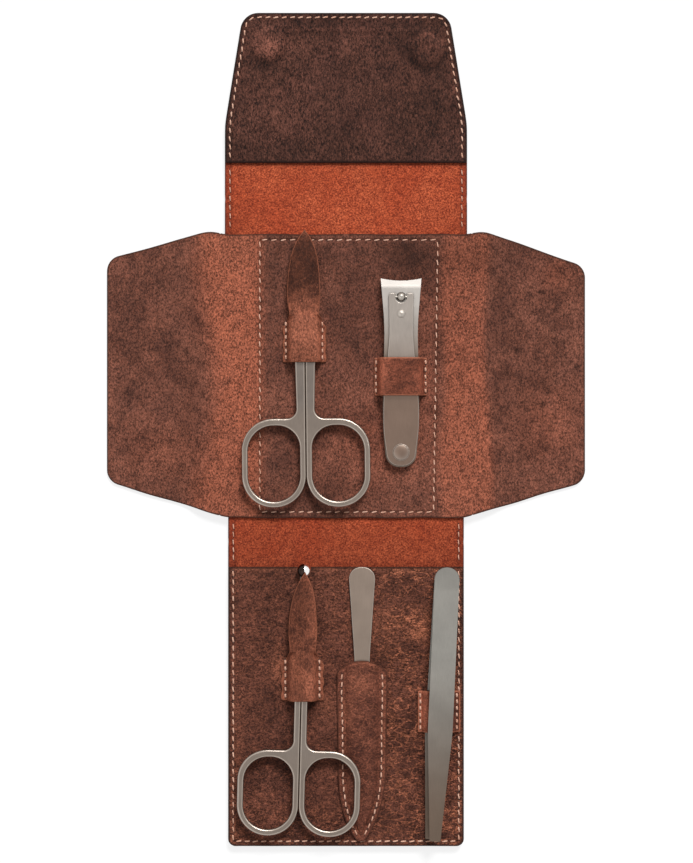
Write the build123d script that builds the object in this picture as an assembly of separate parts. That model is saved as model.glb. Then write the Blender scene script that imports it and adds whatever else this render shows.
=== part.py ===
from build123d import *
import os
from math import atan, cos, radians, sin, tan

# Folding leather manicure set case, lying open on its back. All sizes are in millimetres.
# +Y runs up the long strip from the tool panel to the closing flap, +Z points away from the
# surface that the case lies on. The origin is on that surface, in the middle of the open case.

# ---------------------------------------------------------------- driving sizes: leather case
outer_leather = 1.3
lining_leather = 1.0
facing_leather = 1.2
fold_gap = 0.4

flap_length = 50.3
upper_spine_length = 23.7
middle_length = 94.7
lower_spine_length = 16.0
tool_panel_length = 93.6
lower_strip_width = 78.8
upper_strip_width = 81.0
flap_end_width = 69.0
flap_side_length = 37.0
flap_corner_radius = 5.5
flap_shoulder_radius = 20.0
panel_corner_radius = 2.0

band_width = 5.0
wing_length = 35.3
left_wing_top_drop = 8.2
right_wing_top_drop = 10.6
wing_foot_rise = 12.0
wing_top_lift = 0.9
wing_top_level = 7.4
wing_corner_radius = 5.0
wing_shoulder_radius = 12.0
wing_fall_length = 11.5

magnet_diameter = 9.4
flap_magnet_thickness = 1.6
panel_magnet_thickness = 0.8
magnet_clearance = 0.2
magnet_cover = 1.1
left_magnet_x = -26.0
right_magnet_x = 27.0
left_magnet_reach = 39.3
right_magnet_reach = 37.6
bump_rise = 0.7
bump_round = 0.6

# ---------------------------------------------------------------- driving sizes: tool holders
holder_leather = 0.9
holder_round = 1.2
holder_inner_round = 0.2

nail_tongue_width = 9.8
nail_tongue_height = 3.8
nail_tongue_tab = 2.0
nail_tongue_tabs_length = 14.0
nail_tongue_leaf_length = 29.7
nail_tongue_x = -13.8
nail_tongue_mouth_y = 22.5
leaf_point_length = 12.0
leaf_shoulder_radius = 30.0
leaf_point_radius = 0.5
leaf_droop_length = 6.0
leaf_knee_radius = 3.0

clipper_loop_width = 15.0
clipper_loop_height = 5.6
clipper_loop_tab = 1.7
clipper_loop_length = 12.8
clipper_loop_x = 18.2
clipper_loop_foot_y = 11.2

ball_tongue_width = 9.0
ball_tongue_height = 5.2
ball_tongue_tab = 1.9
ball_tongue_tabs_length = 14.0
ball_tongue_leaf_length = 28.3
ball_tongue_x = -14.7
ball_tongue_mouth_y = -90.1

tweezers_loop_width = 10.0
tweezers_loop_height = 1.7
tweezers_loop_tab = 1.2
tweezers_loop_length = 13.7
tweezers_loop_x = 31.0
tweezers_loop_foot_y = -100.8

sheath_half_width = 8.3
sheath_seam = 2.6
sheath_wall_run = 1.1
sheath_headroom = 0.3
sheath_mouth_y = -77.0
sheath_shoulder_y = -80.2
sheath_waist_y = -118.0
sheath_waist_half_width = 7.2
sheath_end_y = -137.3
sheath_end_radius = 1.2
sheath_end_flatness = 0.6
sheath_point_flare = 0.7
sheath_point_inset = 1.6
sheath_mouth_depth = 5.0

# ---------------------------------------------------------------- driving sizes: steel tools
rest_clearance = 0.15
lap_gap = 0.06
split_gap = 0.1
bar_thickness = 2.2
bar_round = 0.65
blade_thickness = 0.85
blade_overlap = 0.9
ring_wire = 2.0
ring_top_wire = 2.4
ring_web_radius = 7.5
neck_radius = 3.2
lobe_relief = 0.4
melt_overlap = 0.1
pin_fit = 0.05

screw_diameter = 2.4
screw_head_diameter = 4.2
screw_head_thickness = 0.45
screw_slot_width = 0.6
screw_slot_depth = 0.25
screw_slot_turn = 35.0
screw_rivet_diameter = 3.4
screw_rivet_thickness = 0.3

nail_screw_x = -13.75
nail_screw_y = 37.7
nail_screw_height = 1.8
nail_pitch = 1.8
nail_turn = 0.6
nail_lobe_radius = 4.0
nail_shank_width = 7.3
nail_neck_width = 6.0
nail_blade_length = 22.0
nail_blade_base = 3.4
nail_blade_straight = 13.2
nail_blade_belly = 7.7
nail_blade_curve = 25.0
nail_point_reach = 0.1
nail_point_radius = 0.15
nail_ring_width = 21.35
nail_ring_start = 34.0
nail_ring_height = 29.6

ball_screw_x = -14.6
ball_screw_y = -76.3
ball_pitch = 1.2
ball_turn = -1.4
ball_lobe_radius = 3.6
ball_shank_width = 4.4
ball_neck_width = 4.4
ball_blade_length = 29.4
ball_blade_base = 2.16
ball_neck_at_tip = 1.3
ball_diameter = 4.6
ball_ring_width = 20.4
ball_ring_start = 30.2
ball_ring_height = 28.4

clipper_x = 18.3
clipper_tail_y = -12.5
clipper_length = 62.7
clipper_tail_width = 12.3
clipper_foot_width = 9.5
clipper_taper_length = 15.0
clipper_waist_width = 10.9
clipper_jaw_width = 13.5
clipper_waist_from_jaw = 15.7
clipper_side_radius = 90.0
clipper_leaf = 1.1
clipper_edge = 0.35
clipper_jaw_gap = 1.25
clipper_jaw_length = 6.0
clipper_jaw_sag = 0.8
clipper_jaw_bend = 9.6
clipper_jaw_turn = 3.6
clipper_jaw_shoulder = 2.7
clipper_spring_radius = 20.0
clipper_bend_radius = 15.0
clipper_jaw_radius = 6.0
clipper_shoulder_radius = 4.0
clipper_heel_radius = 8.0
clipper_leaf_slope = 2.6
clipper_flat_tail = 6.0
lever_length = 57.4
lever_fork_width = 8.3
lever_waist_width = 7.8
lever_thumb_width = 11.8
lever_foot_width = 8.6
lever_taper_length = 12.0
lever_waist_from_top = 14.0
lever_thumb_stretch = 21.0
lever_waist_radius = 60.0
lever_thumb_radius = 40.0
lever_prong_radius = 0.8
lever_thickness = 1.0
lever_clearance = 0.2
lever_slope = 2.4
lever_from_tail = 0.4
lever_notch_radius = 1.9
lever_edge_round = 0.3
thumb_disc_diameter = 5.7
thumb_disc_from_tail = 4.9
thumb_disc_rise = 0.25
thumb_disc_round = 0.2
fulcrum_diameter = 2.9
fulcrum_from_tail = 50.9
fulcrum_rise = 0.75
post_from_tail = 56.5
post_diameter = 2.0
post_head_diameter = 2.7
post_foot_diameter = 4.0
post_foot_thickness = 0.4
post_leaf_clearance = 0.6
cross_pin_diameter = 0.8
cross_pin_hold = 1.0
tail_rivet_from_tail = 4.0
tail_rivet_diameter = 2.6
tail_rivet_head = 4.2
tail_rivet_head_thickness = 0.4

file_x = 5.35
file_top_y = -45.8
file_length = 85.2
file_thickness = 1.0
file_handle_width = 8.7
file_neck_width = 5.0
file_blade_width = 5.8
file_point_width = 1.4
file_blade_start = 14.0
file_taper_length = 16.0
file_grip_radius = 8.0
file_side_radius = 60.0
file_taper_radius = 30.0
file_end_roundness = 0.9
file_point_roundness = 0.8
file_edge_round = 0.3

tweezers_x = 33.75
tweezers_top_y = -45.8
tweezers_length = 90.8
tweezers_turn = -2.7
tweezers_rear_turn = -0.8
tweezers_width = 8.2
tweezers_tip_width = 3.6
tweezers_taper_length = 36.0
tweezers_arm = 0.9
tweezers_weld_length = 7.0
tweezers_belly_at = 45.0
tweezers_belly_gap = 4.6
tweezers_tip_gap = 3.8
tweezers_side_radius = 80.0
tweezers_tip_radius = 0.4
tweezers_weld_radius = 25.0
tweezers_belly_radius = 120.0
tweezers_edge_round = 0.25

# ---------------------------------------------------------------- derived heights and fold lines
lining_top = outer_leather + lining_leather
surface = lining_top + facing_leather

case_length = flap_length + upper_spine_length + middle_length + lower_spine_length + tool_panel_length
flap_fold_y = case_length / 2 - flap_length
upper_fold_y = flap_fold_y - upper_spine_length
lower_fold_y = upper_fold_y - middle_length
panel_fold_y = lower_fold_y - lower_spine_length
band_fold_x = lower_strip_width / 2 + fold_gap / 2
wing_fold_x = band_fold_x + band_width


# ---------------------------------------------------------------- geometry helpers
def rounded(corners):
    """Face inside a closed outline of (x, y, radius) corners; each radius is a tangent arc."""
    places = [Vector(x, y) for x, y, radius in corners]
    arcs = []
    for index, (x, y, radius) in enumerate(corners):
        corner = places[index]
        back = (places[index - 1] - corner).normalized()
        ahead = (places[(index + 1) % len(places)] - corner).normalized()
        half_angle = radians(back.get_angle(ahead)) / 2
        reach = radius / tan(half_angle)
        crown = (back + ahead).normalized() * (radius / sin(half_angle) - radius)
        arcs.append((corner + back * reach, corner + crown, corner + ahead * reach))
    edges = []
    for index, (start, crown, end) in enumerate(arcs):
        if corners[index][2] > 0:
            edges.append(ThreePointArc(start, crown, end))
        following = arcs[(index + 1) % len(arcs)][0]
        if (following - end).length > 1e-6:
            edges.append(Line(end, following))
    return make_face(edges)


def raised(outline, low, high):
    """Solid over an XY outline, between two heights."""
    return extrude(Pos(0, 0, low) * outline, high - low, dir=(0, 0, 1))


def along_x(profile, width):
    """Solid from a (y, z) side profile, as wide as given and centred on X = 0."""
    return extrude(Plane.YZ * profile, width / 2, both=True)


def along_y(profile, low, high):
    """Solid from an (x, z) cross-section, between two Y places."""
    return Pos(0, high, 0) * extrude(Plane.XZ * profile, high - low, dir=(0, -1, 0))


def disc(x, y, diameter, low, high):
    """Upright round solid between two heights."""
    return Pos(x, y, (low + high) / 2) * Cylinder(diameter / 2, high - low)


def flat_edges(solid, height):
    """Edges of a solid that lie wholly at one height."""
    at_height = []
    for edge in solid.edges():
        box = edge.bounding_box()
        if abs(box.min.Z - height) < 1e-4 and abs(box.max.Z - height) < 1e-4:
            at_height.append(edge)
    return ShapeList(at_height)


def single(shape):
    """The one solid that a modelling step has left, as a plain solid."""
    solids = shape.solids()
    if len(solids) != 1:
        raise ValueError(f"one solid expected, found {len(solids)}")
    return solids[0]


# ---------------------------------------------------------------- leather case
def strip_outline(low_y, high_y, width):
    """Square-cornered outline of one panel of the strip, short of its fold lines by half a gap."""
    half = width / 2
    low = low_y + fold_gap / 2
    high = high_y - fold_gap / 2
    return rounded([(-half, low, 0), (half, low, 0), (half, high, 0), (-half, high, 0)])


def tool_panel_outline():
    """Bottom panel: square at its fold, round at its free corners."""
    half = lower_strip_width / 2
    low = panel_fold_y - tool_panel_length
    high = panel_fold_y - fold_gap / 2
    corner = panel_corner_radius
    return rounded([(-half, low, corner), (half, low, corner), (half, high, 0), (-half, high, 0)])


def flap_outline():
    """Closing flap: straight near its fold, tapering to a narrower end with round corners."""
    half = upper_strip_width / 2
    end_half = flap_end_width / 2
    low = flap_fold_y + fold_gap / 2
    high = flap_fold_y + flap_length
    taper = high - flap_side_length
    corner = flap_corner_radius
    shoulder = flap_shoulder_radius
    return rounded([
        (-half, low, 0), (half, low, 0), (half, taper, shoulder), (end_half, high, corner),
        (-end_half, high, corner), (-half, taper, shoulder),
    ])


def wing_outline(side, top_drop):
    """Whole side sheet, its lower edge sloping up and its upper edge sloping down outwards."""
    inner = side * band_fold_x
    outer = side * (wing_fold_x + wing_length)
    level_end = side * (band_fold_x + wing_top_level)
    top = upper_fold_y + wing_top_lift
    return rounded([
        (inner, lower_fold_y, 0), (outer, lower_fold_y + wing_foot_rise, wing_corner_radius),
        (outer, upper_fold_y - top_drop, wing_corner_radius), (level_end, top, wing_shoulder_radius),
        (inner, upper_fold_y, 0),
    ])


def between_x(side, near, far):
    """Tall block that keeps one stretch of a side sheet, from near to far from the middle."""
    low, high = sorted((side * near, side * far))
    return Pos((low + high) / 2, 0, surface) * Box(high - low, 2 * case_length, 4 * surface)


def wing_profile(side):
    """Side sheet seen along Y: level at its fold, then falling in an S to the table."""
    start = wing_fold_x + fold_gap / 2
    end = wing_fold_x + wing_length
    turn = 2 * atan(lining_top / wing_fall_length)
    bend = wing_fall_length / (2 * sin(turn))
    middle_x = start + wing_fall_length / 2
    middle_z = surface - lining_top / 2
    half_turn = turn / 2

    fall_end = start + wing_fall_length
    thin = facing_leather

    def on_crest(radius):
        return (side * (start + radius * sin(half_turn)), surface - bend + radius * cos(half_turn))

    def on_hollow(radius):
        return (side * (fall_end - radius * sin(half_turn)), thin + bend - radius * cos(half_turn))

    top_start = (side * start, surface)
    top_knee = (side * middle_x, middle_z)
    top_level = (side * fall_end, thin)
    under_start = (side * start, lining_top)
    under_knee = (side * (middle_x - thin * sin(turn)), middle_z - thin * cos(turn))
    under_level = (side * fall_end, 0)
    return make_face([
        ThreePointArc(top_start, on_crest(bend), top_knee),
        ThreePointArc(top_knee, on_hollow(bend), top_level),
        Line(top_level, (side * end, thin)),
        Line((side * end, thin), (side * end, 0)),
        Line((side * end, 0), under_level),
        ThreePointArc(under_level, on_hollow(bend + thin), under_knee),
        ThreePointArc(under_knee, on_crest(bend - thin), under_start),
        Line(under_start, top_start),
    ])


def case_leather():
    """Every flat piece of the case: outer leather, orange lining, facings, bands and wings."""
    panels = {
        "middle": strip_outline(lower_fold_y, upper_fold_y, lower_strip_width),
        "lower_spine": strip_outline(panel_fold_y, lower_fold_y, lower_strip_width),
        "upper_spine": strip_outline(upper_fold_y, flap_fold_y, upper_strip_width),
        "tool_panel": tool_panel_outline(),
        "flap": flap_outline(),
    }
    pieces = {}
    for name, outline in panels.items():
        pieces[f"{name}_outer"] = raised(outline, 0, outer_leather)
        pieces[f"{name}_lining"] = raised(outline, outer_leather, lining_top)
    for name in ("tool_panel", "flap"):
        pieces[f"{name}_facing"] = raised(panels[name], lining_top, surface)
    pieces["inner_sheet_middle"] = raised(panels["middle"], lining_top, surface)
    for name, side, top_drop in (("left", -1, left_wing_top_drop), ("right", 1, right_wing_top_drop)):
        sheet = wing_outline(side, top_drop)
        band = between_x(side, band_fold_x + fold_gap / 2, wing_fold_x - fold_gap / 2)
        pieces[f"{name}_fold_band"] = raised(sheet, lining_top, surface) & band
        full = raised(sheet, -surface, 2 * surface)
        pieces[f"{name}_wing"] = full & along_y(wing_profile(side), -case_length, case_length)
    return pieces


# ---------------------------------------------------------------- magnets
def flap_magnet_places():
    """Centres of the two flap magnets, measured from the flap's fold line."""
    return [
        (left_magnet_x, flap_fold_y + left_magnet_reach),
        (right_magnet_x, flap_fold_y + right_magnet_reach),
    ]


def panel_magnet_places():
    """Places on the tool panel that the flap's magnets meet when the case is folded up."""
    return [
        (left_magnet_x, panel_fold_y - middle_length + left_magnet_reach),
        (right_magnet_x, panel_fold_y - middle_length + right_magnet_reach),
    ]


def add_magnets(pieces):
    """Let the magnets into the leather and raise the facing in a low bump over each one."""
    pocket = magnet_diameter + 2 * magnet_clearance
    magnet_top = outer_leather + magnet_clearance + flap_magnet_thickness
    facing_bottom = magnet_top + magnet_clearance
    bump_diameter = pocket + 2 * magnet_cover
    magnets = []
    for x, y in flap_magnet_places():
        pieces["flap_lining"] -= disc(x, y, pocket, outer_leather, lining_top)
        bump = disc(x, y, bump_diameter, lining_top, surface + bump_rise)
        bump = fillet(flat_edges(bump, surface + bump_rise), bump_round)
        pieces["flap_facing"] += bump
        pieces["flap_facing"] -= disc(x, y, pocket, lining_top, facing_bottom)
        magnets.append(disc(x, y, magnet_diameter, outer_leather, magnet_top - magnet_clearance))
    pieces["flap_magnets"] = Compound(children=magnets)
    counters = []
    for x, y in panel_magnet_places():
        pieces["tool_panel_lining"] -= disc(x, y, pocket, outer_leather, lining_top)
        counters.append(disc(x, y, magnet_diameter, outer_leather, outer_leather + panel_magnet_thickness))
    pieces["tool_panel_magnets"] = Compound(children=counters)


# ---------------------------------------------------------------- tool holders
def arch_section(width, height, tab):
    """Cross-section of a leather loop: two flat tabs and an arch between them."""
    half = width / 2
    outer = half + holder_leather
    foot = outer + tab
    top = height + holder_leather
    section = rounded([
        (-foot, 0, 0), (foot, 0, 0), (foot, holder_leather, 0), (outer, holder_leather, 0),
        (outer, top, holder_round), (-outer, top, holder_round), (-outer, holder_leather, 0),
        (-foot, holder_leather, 0),
    ])
    inner = holder_inner_round
    tunnel = rounded([(-half, 0, 0), (half, 0, 0), (half, height, inner), (-half, height, inner)])
    return section - tunnel


def loop(width, height, tab, length, x, foot_y):
    """Leather loop stitched down at both sides, open at its two ends."""
    band = along_y(arch_section(width, height, tab), 0, length)
    return Pos(x, foot_y, surface) * band


def tongue(width, height, tab, tabs_length, leaf_length, leaf_profile, x, mouth_y):
    """Loop that runs on into a free pointed leaf lying over the blades."""
    half = width / 2 + holder_leather
    tip = tabs_length + leaf_length
    leaf_plan = rounded([
        (-half, tabs_length - holder_round, 0), (half, tabs_length - holder_round, 0),
        (half, tip - leaf_point_length, leaf_shoulder_radius), (0, tip, leaf_point_radius),
        (-half, tip - leaf_point_length, leaf_shoulder_radius),
    ])
    leaf = raised(leaf_plan, -height, 3 * height) & along_x(leaf_profile, 4 * half)
    band = along_y(arch_section(width, height, tab), 0, tabs_length)
    return Pos(x, mouth_y, surface) * (band + leaf)


def nail_tongue():
    """Tongue over the pointed blades; its leaf slopes down and its tip touches the inner sheet."""
    start = nail_tongue_tabs_length - holder_round
    tip = nail_tongue_tabs_length + nail_tongue_leaf_length
    knee = tip - leaf_droop_length
    blade_tip_plane = nail_screw_height - nail_blade_length * sin(radians(nail_pitch))
    knee_height = blade_tip_plane + lap_gap + blade_thickness + 2 * rest_clearance
    high = nail_tongue_height
    leaf = holder_leather
    profile = rounded([
        (start, high, 0), (nail_tongue_tabs_length, high, 0),
        (knee, knee_height, leaf_knee_radius), (tip, 0, 0),
        (tip, leaf, 0), (knee, knee_height + leaf, leaf_knee_radius + leaf),
        (nail_tongue_tabs_length, high + leaf, 0), (start, high + leaf, 0),
    ])
    return tongue(
        nail_tongue_width, nail_tongue_height, nail_tongue_tab, nail_tongue_tabs_length,
        nail_tongue_leaf_length, profile, nail_tongue_x, nail_tongue_mouth_y)


def ball_tongue():
    """Tongue over the ball-tipped blades; its leaf stays level and rests above the balls."""
    start = ball_tongue_tabs_length - holder_round
    tip = ball_tongue_tabs_length + ball_tongue_leaf_length
    high = ball_tongue_height
    leaf = holder_leather
    profile = rounded([(start, high, 0), (tip, high, 0), (tip, high + leaf, 0), (start, high + leaf, 0)])
    return tongue(
        ball_tongue_width, ball_tongue_height, ball_tongue_tab, ball_tongue_tabs_length,
        ball_tongue_leaf_length, profile, ball_tongue_x, ball_tongue_mouth_y)


def sheath_outline(inset):
    """Pointed outline of the file sheath with an arched mouth, moved in by an inset."""
    half = sheath_half_width - inset
    waist = sheath_waist_half_width - inset
    end = sheath_end_y + sheath_point_inset * inset
    foot_low = end - sheath_end_flatness * sheath_end_radius
    mouth = ThreePointArc((-half, sheath_shoulder_y), (0, sheath_mouth_y), (half, sheath_shoulder_y))
    left = Spline(
        (-half, sheath_shoulder_y), (-waist, sheath_waist_y), (-sheath_end_radius, end),
        tangents=[(0, -1), (sheath_point_flare, -1)])
    right = Spline(
        (half, sheath_shoulder_y), (waist, sheath_waist_y), (sheath_end_radius, end),
        tangents=[(0, -1), (-sheath_point_flare, -1)])
    foot = ThreePointArc((-sheath_end_radius, end), (0, foot_low), (sheath_end_radius, end))
    return make_face([mouth, left, foot, right])


def file_sheath():
    """Flat pointed sheath: a stitched seam all round and a raised pocket for the blade."""
    pocket_height = rest_clearance + file_thickness + sheath_headroom
    seam = raised(sheath_outline(0), 0, holder_leather)
    bulge = raised(sheath_outline(sheath_seam), 0, pocket_height + holder_leather)
    pocket = raised(sheath_outline(sheath_seam + sheath_wall_run), 0, pocket_height)
    mouth_cut = Pos(0, sheath_mouth_y, pocket_height / 2) * Box(
        2 * (sheath_half_width - sheath_seam - sheath_wall_run), 2 * sheath_mouth_depth, pocket_height)
    return Pos(file_x, 0, surface) * (seam + bulge - pocket - mouth_cut)


# ---------------------------------------------------------------- scissors
def bar_and_ring(lobe_radius, shank_width, neck_width, ring_width, ring_start, ring_height):
    """Left handle of a pair of scissors: straight shank and finger ring, full bar thickness."""
    near = split_gap / 2
    top = -(lobe_radius + lobe_relief)
    ring_low = ring_start + ring_height
    ring_round = (ring_width - near) / 2 - split_gap
    plan = rounded([
        (-near, top, 0), (-shank_width / 2, top, 0), (-neck_width / 2, -ring_start, neck_radius),
        (-ring_width, -ring_start, ring_round), (-ring_width, -ring_low, ring_round),
        (-near, -ring_low, ring_round),
    ])
    hole_round = ring_round - ring_wire
    hole_top = -ring_start - ring_top_wire
    hole = rounded([
        (-near - ring_wire, hole_top, ring_web_radius), (-ring_width + ring_wire, hole_top, hole_round),
        (-ring_width + ring_wire, -ring_low + ring_wire, hole_round),
        (-near - ring_wire, -ring_low + ring_wire, hole_round),
    ])
    half = bar_thickness / 2
    bar = raised(plan - hole, -half, half)
    for height in (-half, half):
        rims = [edge for edge in flat_edges(bar, height) if edge.center().Y < top - melt_overlap]
        bar = fillet(rims, bar_round)
    return bar


def lap(lobe_radius, shank_width, sign):
    """Half-thickness round lobe at the screw, joined to the left shank; sign gives its layer."""
    near = split_gap / 2
    low, high = sorted((sign * lap_gap / 2, sign * bar_thickness / 2))
    foot = -(lobe_radius + lobe_relief + melt_overlap)
    side = shank_width / 2
    neck = rounded([(-near, 0, 0), (-near, foot, 0), (-side, foot, 0), (-side, 0, 0)])
    return raised(Circle(lobe_radius) + neck, low, high)


def nail_blade(sign):
    """Pointed blade that crosses over to the right of the screw."""
    low, high = sorted((sign * lap_gap / 2, sign * (lap_gap / 2 + blade_thickness)))
    plan = rounded([
        (-blade_overlap, 0, 0), (-blade_overlap, nail_blade_straight, 0),
        (nail_point_reach, nail_blade_length, nail_point_radius),
        (nail_blade_base, nail_blade_belly, nail_blade_curve), (nail_blade_base, 0, 0),
    ])
    return raised(plan, low, high)


def ball_blade(sign):
    """Narrow blade that crosses over to the right and carries half of the round tip."""
    low, high = sorted((sign * lap_gap / 2, sign * (lap_gap / 2 + blade_thickness)))
    near = split_gap / 2
    ball_start = ball_blade_length - ball_diameter / 2
    plan = rounded([
        (-blade_overlap, 0, 0), (-blade_overlap, ball_start - 2 * blade_overlap, 0),
        (near, ball_start - blade_overlap, 0), (near, ball_blade_length, 0),
        (ball_neck_at_tip, ball_blade_length, 0), (ball_neck_at_tip, ball_start - blade_overlap, 0),
        (ball_blade_base, 0, 0),
    ])
    half_ball = Rot(0, 0, -90) * Sphere(ball_diameter / 2, arc_size3=180, align=Align.NONE)
    return raised(plan, low, high) + Pos(near, ball_blade_length, 0) * half_ball


def screw_hole():
    """Clearance hole for the screw through a lobe."""
    return Cylinder(screw_diameter / 2 + pin_fit, 2 * bar_thickness)


def scissors_screw():
    """Slotted screw with a riveted foot, standing through both lobes."""
    half = bar_thickness / 2 + lap_gap / 2
    head_top = half + screw_head_thickness
    shaft = disc(0, 0, screw_diameter, -half, half)
    head = disc(0, 0, screw_head_diameter, half, head_top)
    head = fillet(flat_edges(head, head_top), screw_head_thickness / 2)
    foot = disc(0, 0, screw_rivet_diameter, -half - screw_rivet_thickness, -half)
    slot = Pos(0, 0, head_top) * Rot(0, 0, screw_slot_turn) * Box(
        2 * screw_head_diameter, screw_slot_width, 2 * screw_slot_depth)
    return shaft + head + foot - slot


def scissors(prefix, place, bar, lap_sizes, blade):
    """The two mirrored halves and the screw of one pair of scissors, put in place."""
    left = bar + lap(*lap_sizes, -1) + blade(-1) - screw_hole()
    right = mirror(bar + lap(*lap_sizes, 1) + blade(1) - screw_hole(), about=Plane.YZ)
    return {
        f"{prefix}_left_half": place * left,
        f"{prefix}_right_half": place * right,
        f"{prefix}_screw": place * scissors_screw(),
    }


def nail_scissors():
    """Nail scissors, pitched so that the points lie low and the rings stand clear."""
    place = Pos(nail_screw_x, nail_screw_y, surface + nail_screw_height) * Rot(0, 0, nail_turn)
    place = place * Rot(-nail_pitch, 0, 0)
    bar = bar_and_ring(
        nail_lobe_radius, nail_shank_width, nail_neck_width, nail_ring_width, nail_ring_start,
        nail_ring_height)
    return scissors("nail_scissors", place, bar, (nail_lobe_radius, nail_shank_width), nail_blade)


def ball_screw_height():
    """Height of the screw that lets the round tips rest just above the tool panel."""
    return rest_clearance + ball_diameter / 2 + ball_blade_length * sin(radians(ball_pitch))


def ball_scissors():
    """Ball-tipped scissors, resting on the balls with the rings above the file's sheath."""
    place = Pos(ball_screw_x, ball_screw_y, surface + ball_screw_height()) * Rot(0, 0, ball_turn)
    place = place * Rot(-ball_pitch, 0, 0)
    bar = bar_and_ring(
        ball_lobe_radius, ball_shank_width, ball_neck_width, ball_ring_width, ball_ring_start,
        ball_ring_height)
    return scissors("ball_scissors", place, bar, (ball_lobe_radius, ball_shank_width), ball_blade)


# ---------------------------------------------------------------- nail clipper
def clipper_plan():
    """Outline of both clipper leaves: tapered round tail, waist, flared jaw with a hollow edge."""
    foot = clipper_foot_width / 2
    tail = clipper_tail_width / 2
    waist = clipper_waist_width / 2
    jaw = clipper_jaw_width / 2
    waist_y = clipper_length - clipper_waist_from_jaw
    taper_y = clipper_taper_length
    tail_round = foot - split_gap
    side = clipper_side_radius
    plan = rounded([
        (jaw, clipper_length, 0), (waist, waist_y, side), (tail, taper_y, side), (foot, 0, tail_round),
        (-foot, 0, tail_round), (-tail, taper_y, side), (-waist, waist_y, side), (-jaw, clipper_length, 0),
    ])
    cut_radius = (jaw ** 2 + clipper_jaw_sag ** 2) / (2 * clipper_jaw_sag)
    return plan - Pos(0, clipper_length + cut_radius - clipper_jaw_sag) * Circle(cut_radius)


def upper_leaf_bottom():
    """Height of the upper leaf's underside at its flat tail."""
    return rest_clearance + clipper_leaf + lap_gap


def upper_leaf_rise():
    """Rise of the upper leaf from its flat tail to where the jaw starts."""
    slope_run = clipper_length - clipper_flat_tail - clipper_jaw_bend
    return slope_run * tan(radians(clipper_leaf_slope))


def lower_edge_top():
    """Height of the lower cutting edge."""
    return upper_leaf_bottom() + clipper_edge


def clipper_leaves():
    """Lower leaf, flat with an upturned jaw, and upper leaf, sprung up with a downturned jaw."""
    plan = raised(clipper_plan(), -surface, 3 * surface)
    jaw_y = clipper_length - clipper_jaw_length
    low = rest_clearance
    edge_top = lower_edge_top()
    past_tail = -clipper_leaf
    past_edge = clipper_length + clipper_leaf
    lower = rounded([
        (past_tail, low, 0), (jaw_y, low, clipper_heel_radius), (past_edge, edge_top - clipper_edge, 0),
        (past_edge, edge_top, 0), (jaw_y, low + clipper_leaf, clipper_jaw_radius),
        (past_tail, low + clipper_leaf, 0),
    ])
    start = upper_leaf_bottom()
    rise = start + upper_leaf_rise()
    slope_end = clipper_length - clipper_jaw_bend
    edge_low = edge_top + clipper_jaw_gap
    upper = rounded([
        (past_tail, start, 0), (clipper_flat_tail, start, clipper_spring_radius),
        (slope_end, rise, clipper_bend_radius),
        (clipper_length - clipper_jaw_turn, rise, clipper_jaw_radius), (past_edge, edge_low, 0),
        (past_edge, edge_low + clipper_edge, 0),
        (clipper_length - clipper_jaw_shoulder, rise + clipper_leaf, clipper_shoulder_radius),
        (slope_end, rise + clipper_leaf, clipper_bend_radius),
        (clipper_flat_tail, start + clipper_leaf, clipper_spring_radius),
        (past_tail, start + clipper_leaf, 0),
    ])
    return plan & along_x(lower, 2 * clipper_jaw_width), plan & along_x(upper, 2 * clipper_jaw_width)


def lever_under(y):
    """Height of the lever's underside at a distance from the clipper's tail."""
    slope = tan(radians(lever_slope))
    nearest = clipper_length - clipper_jaw_bend
    highest = upper_leaf_bottom() + upper_leaf_rise() + clipper_leaf + lever_clearance
    return highest - (nearest - y) * slope


def lever_pivot_height():
    """Height of the cross pin, in the middle of the lever's thickness."""
    return lever_under(post_from_tail) + lever_thickness / 2


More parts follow.
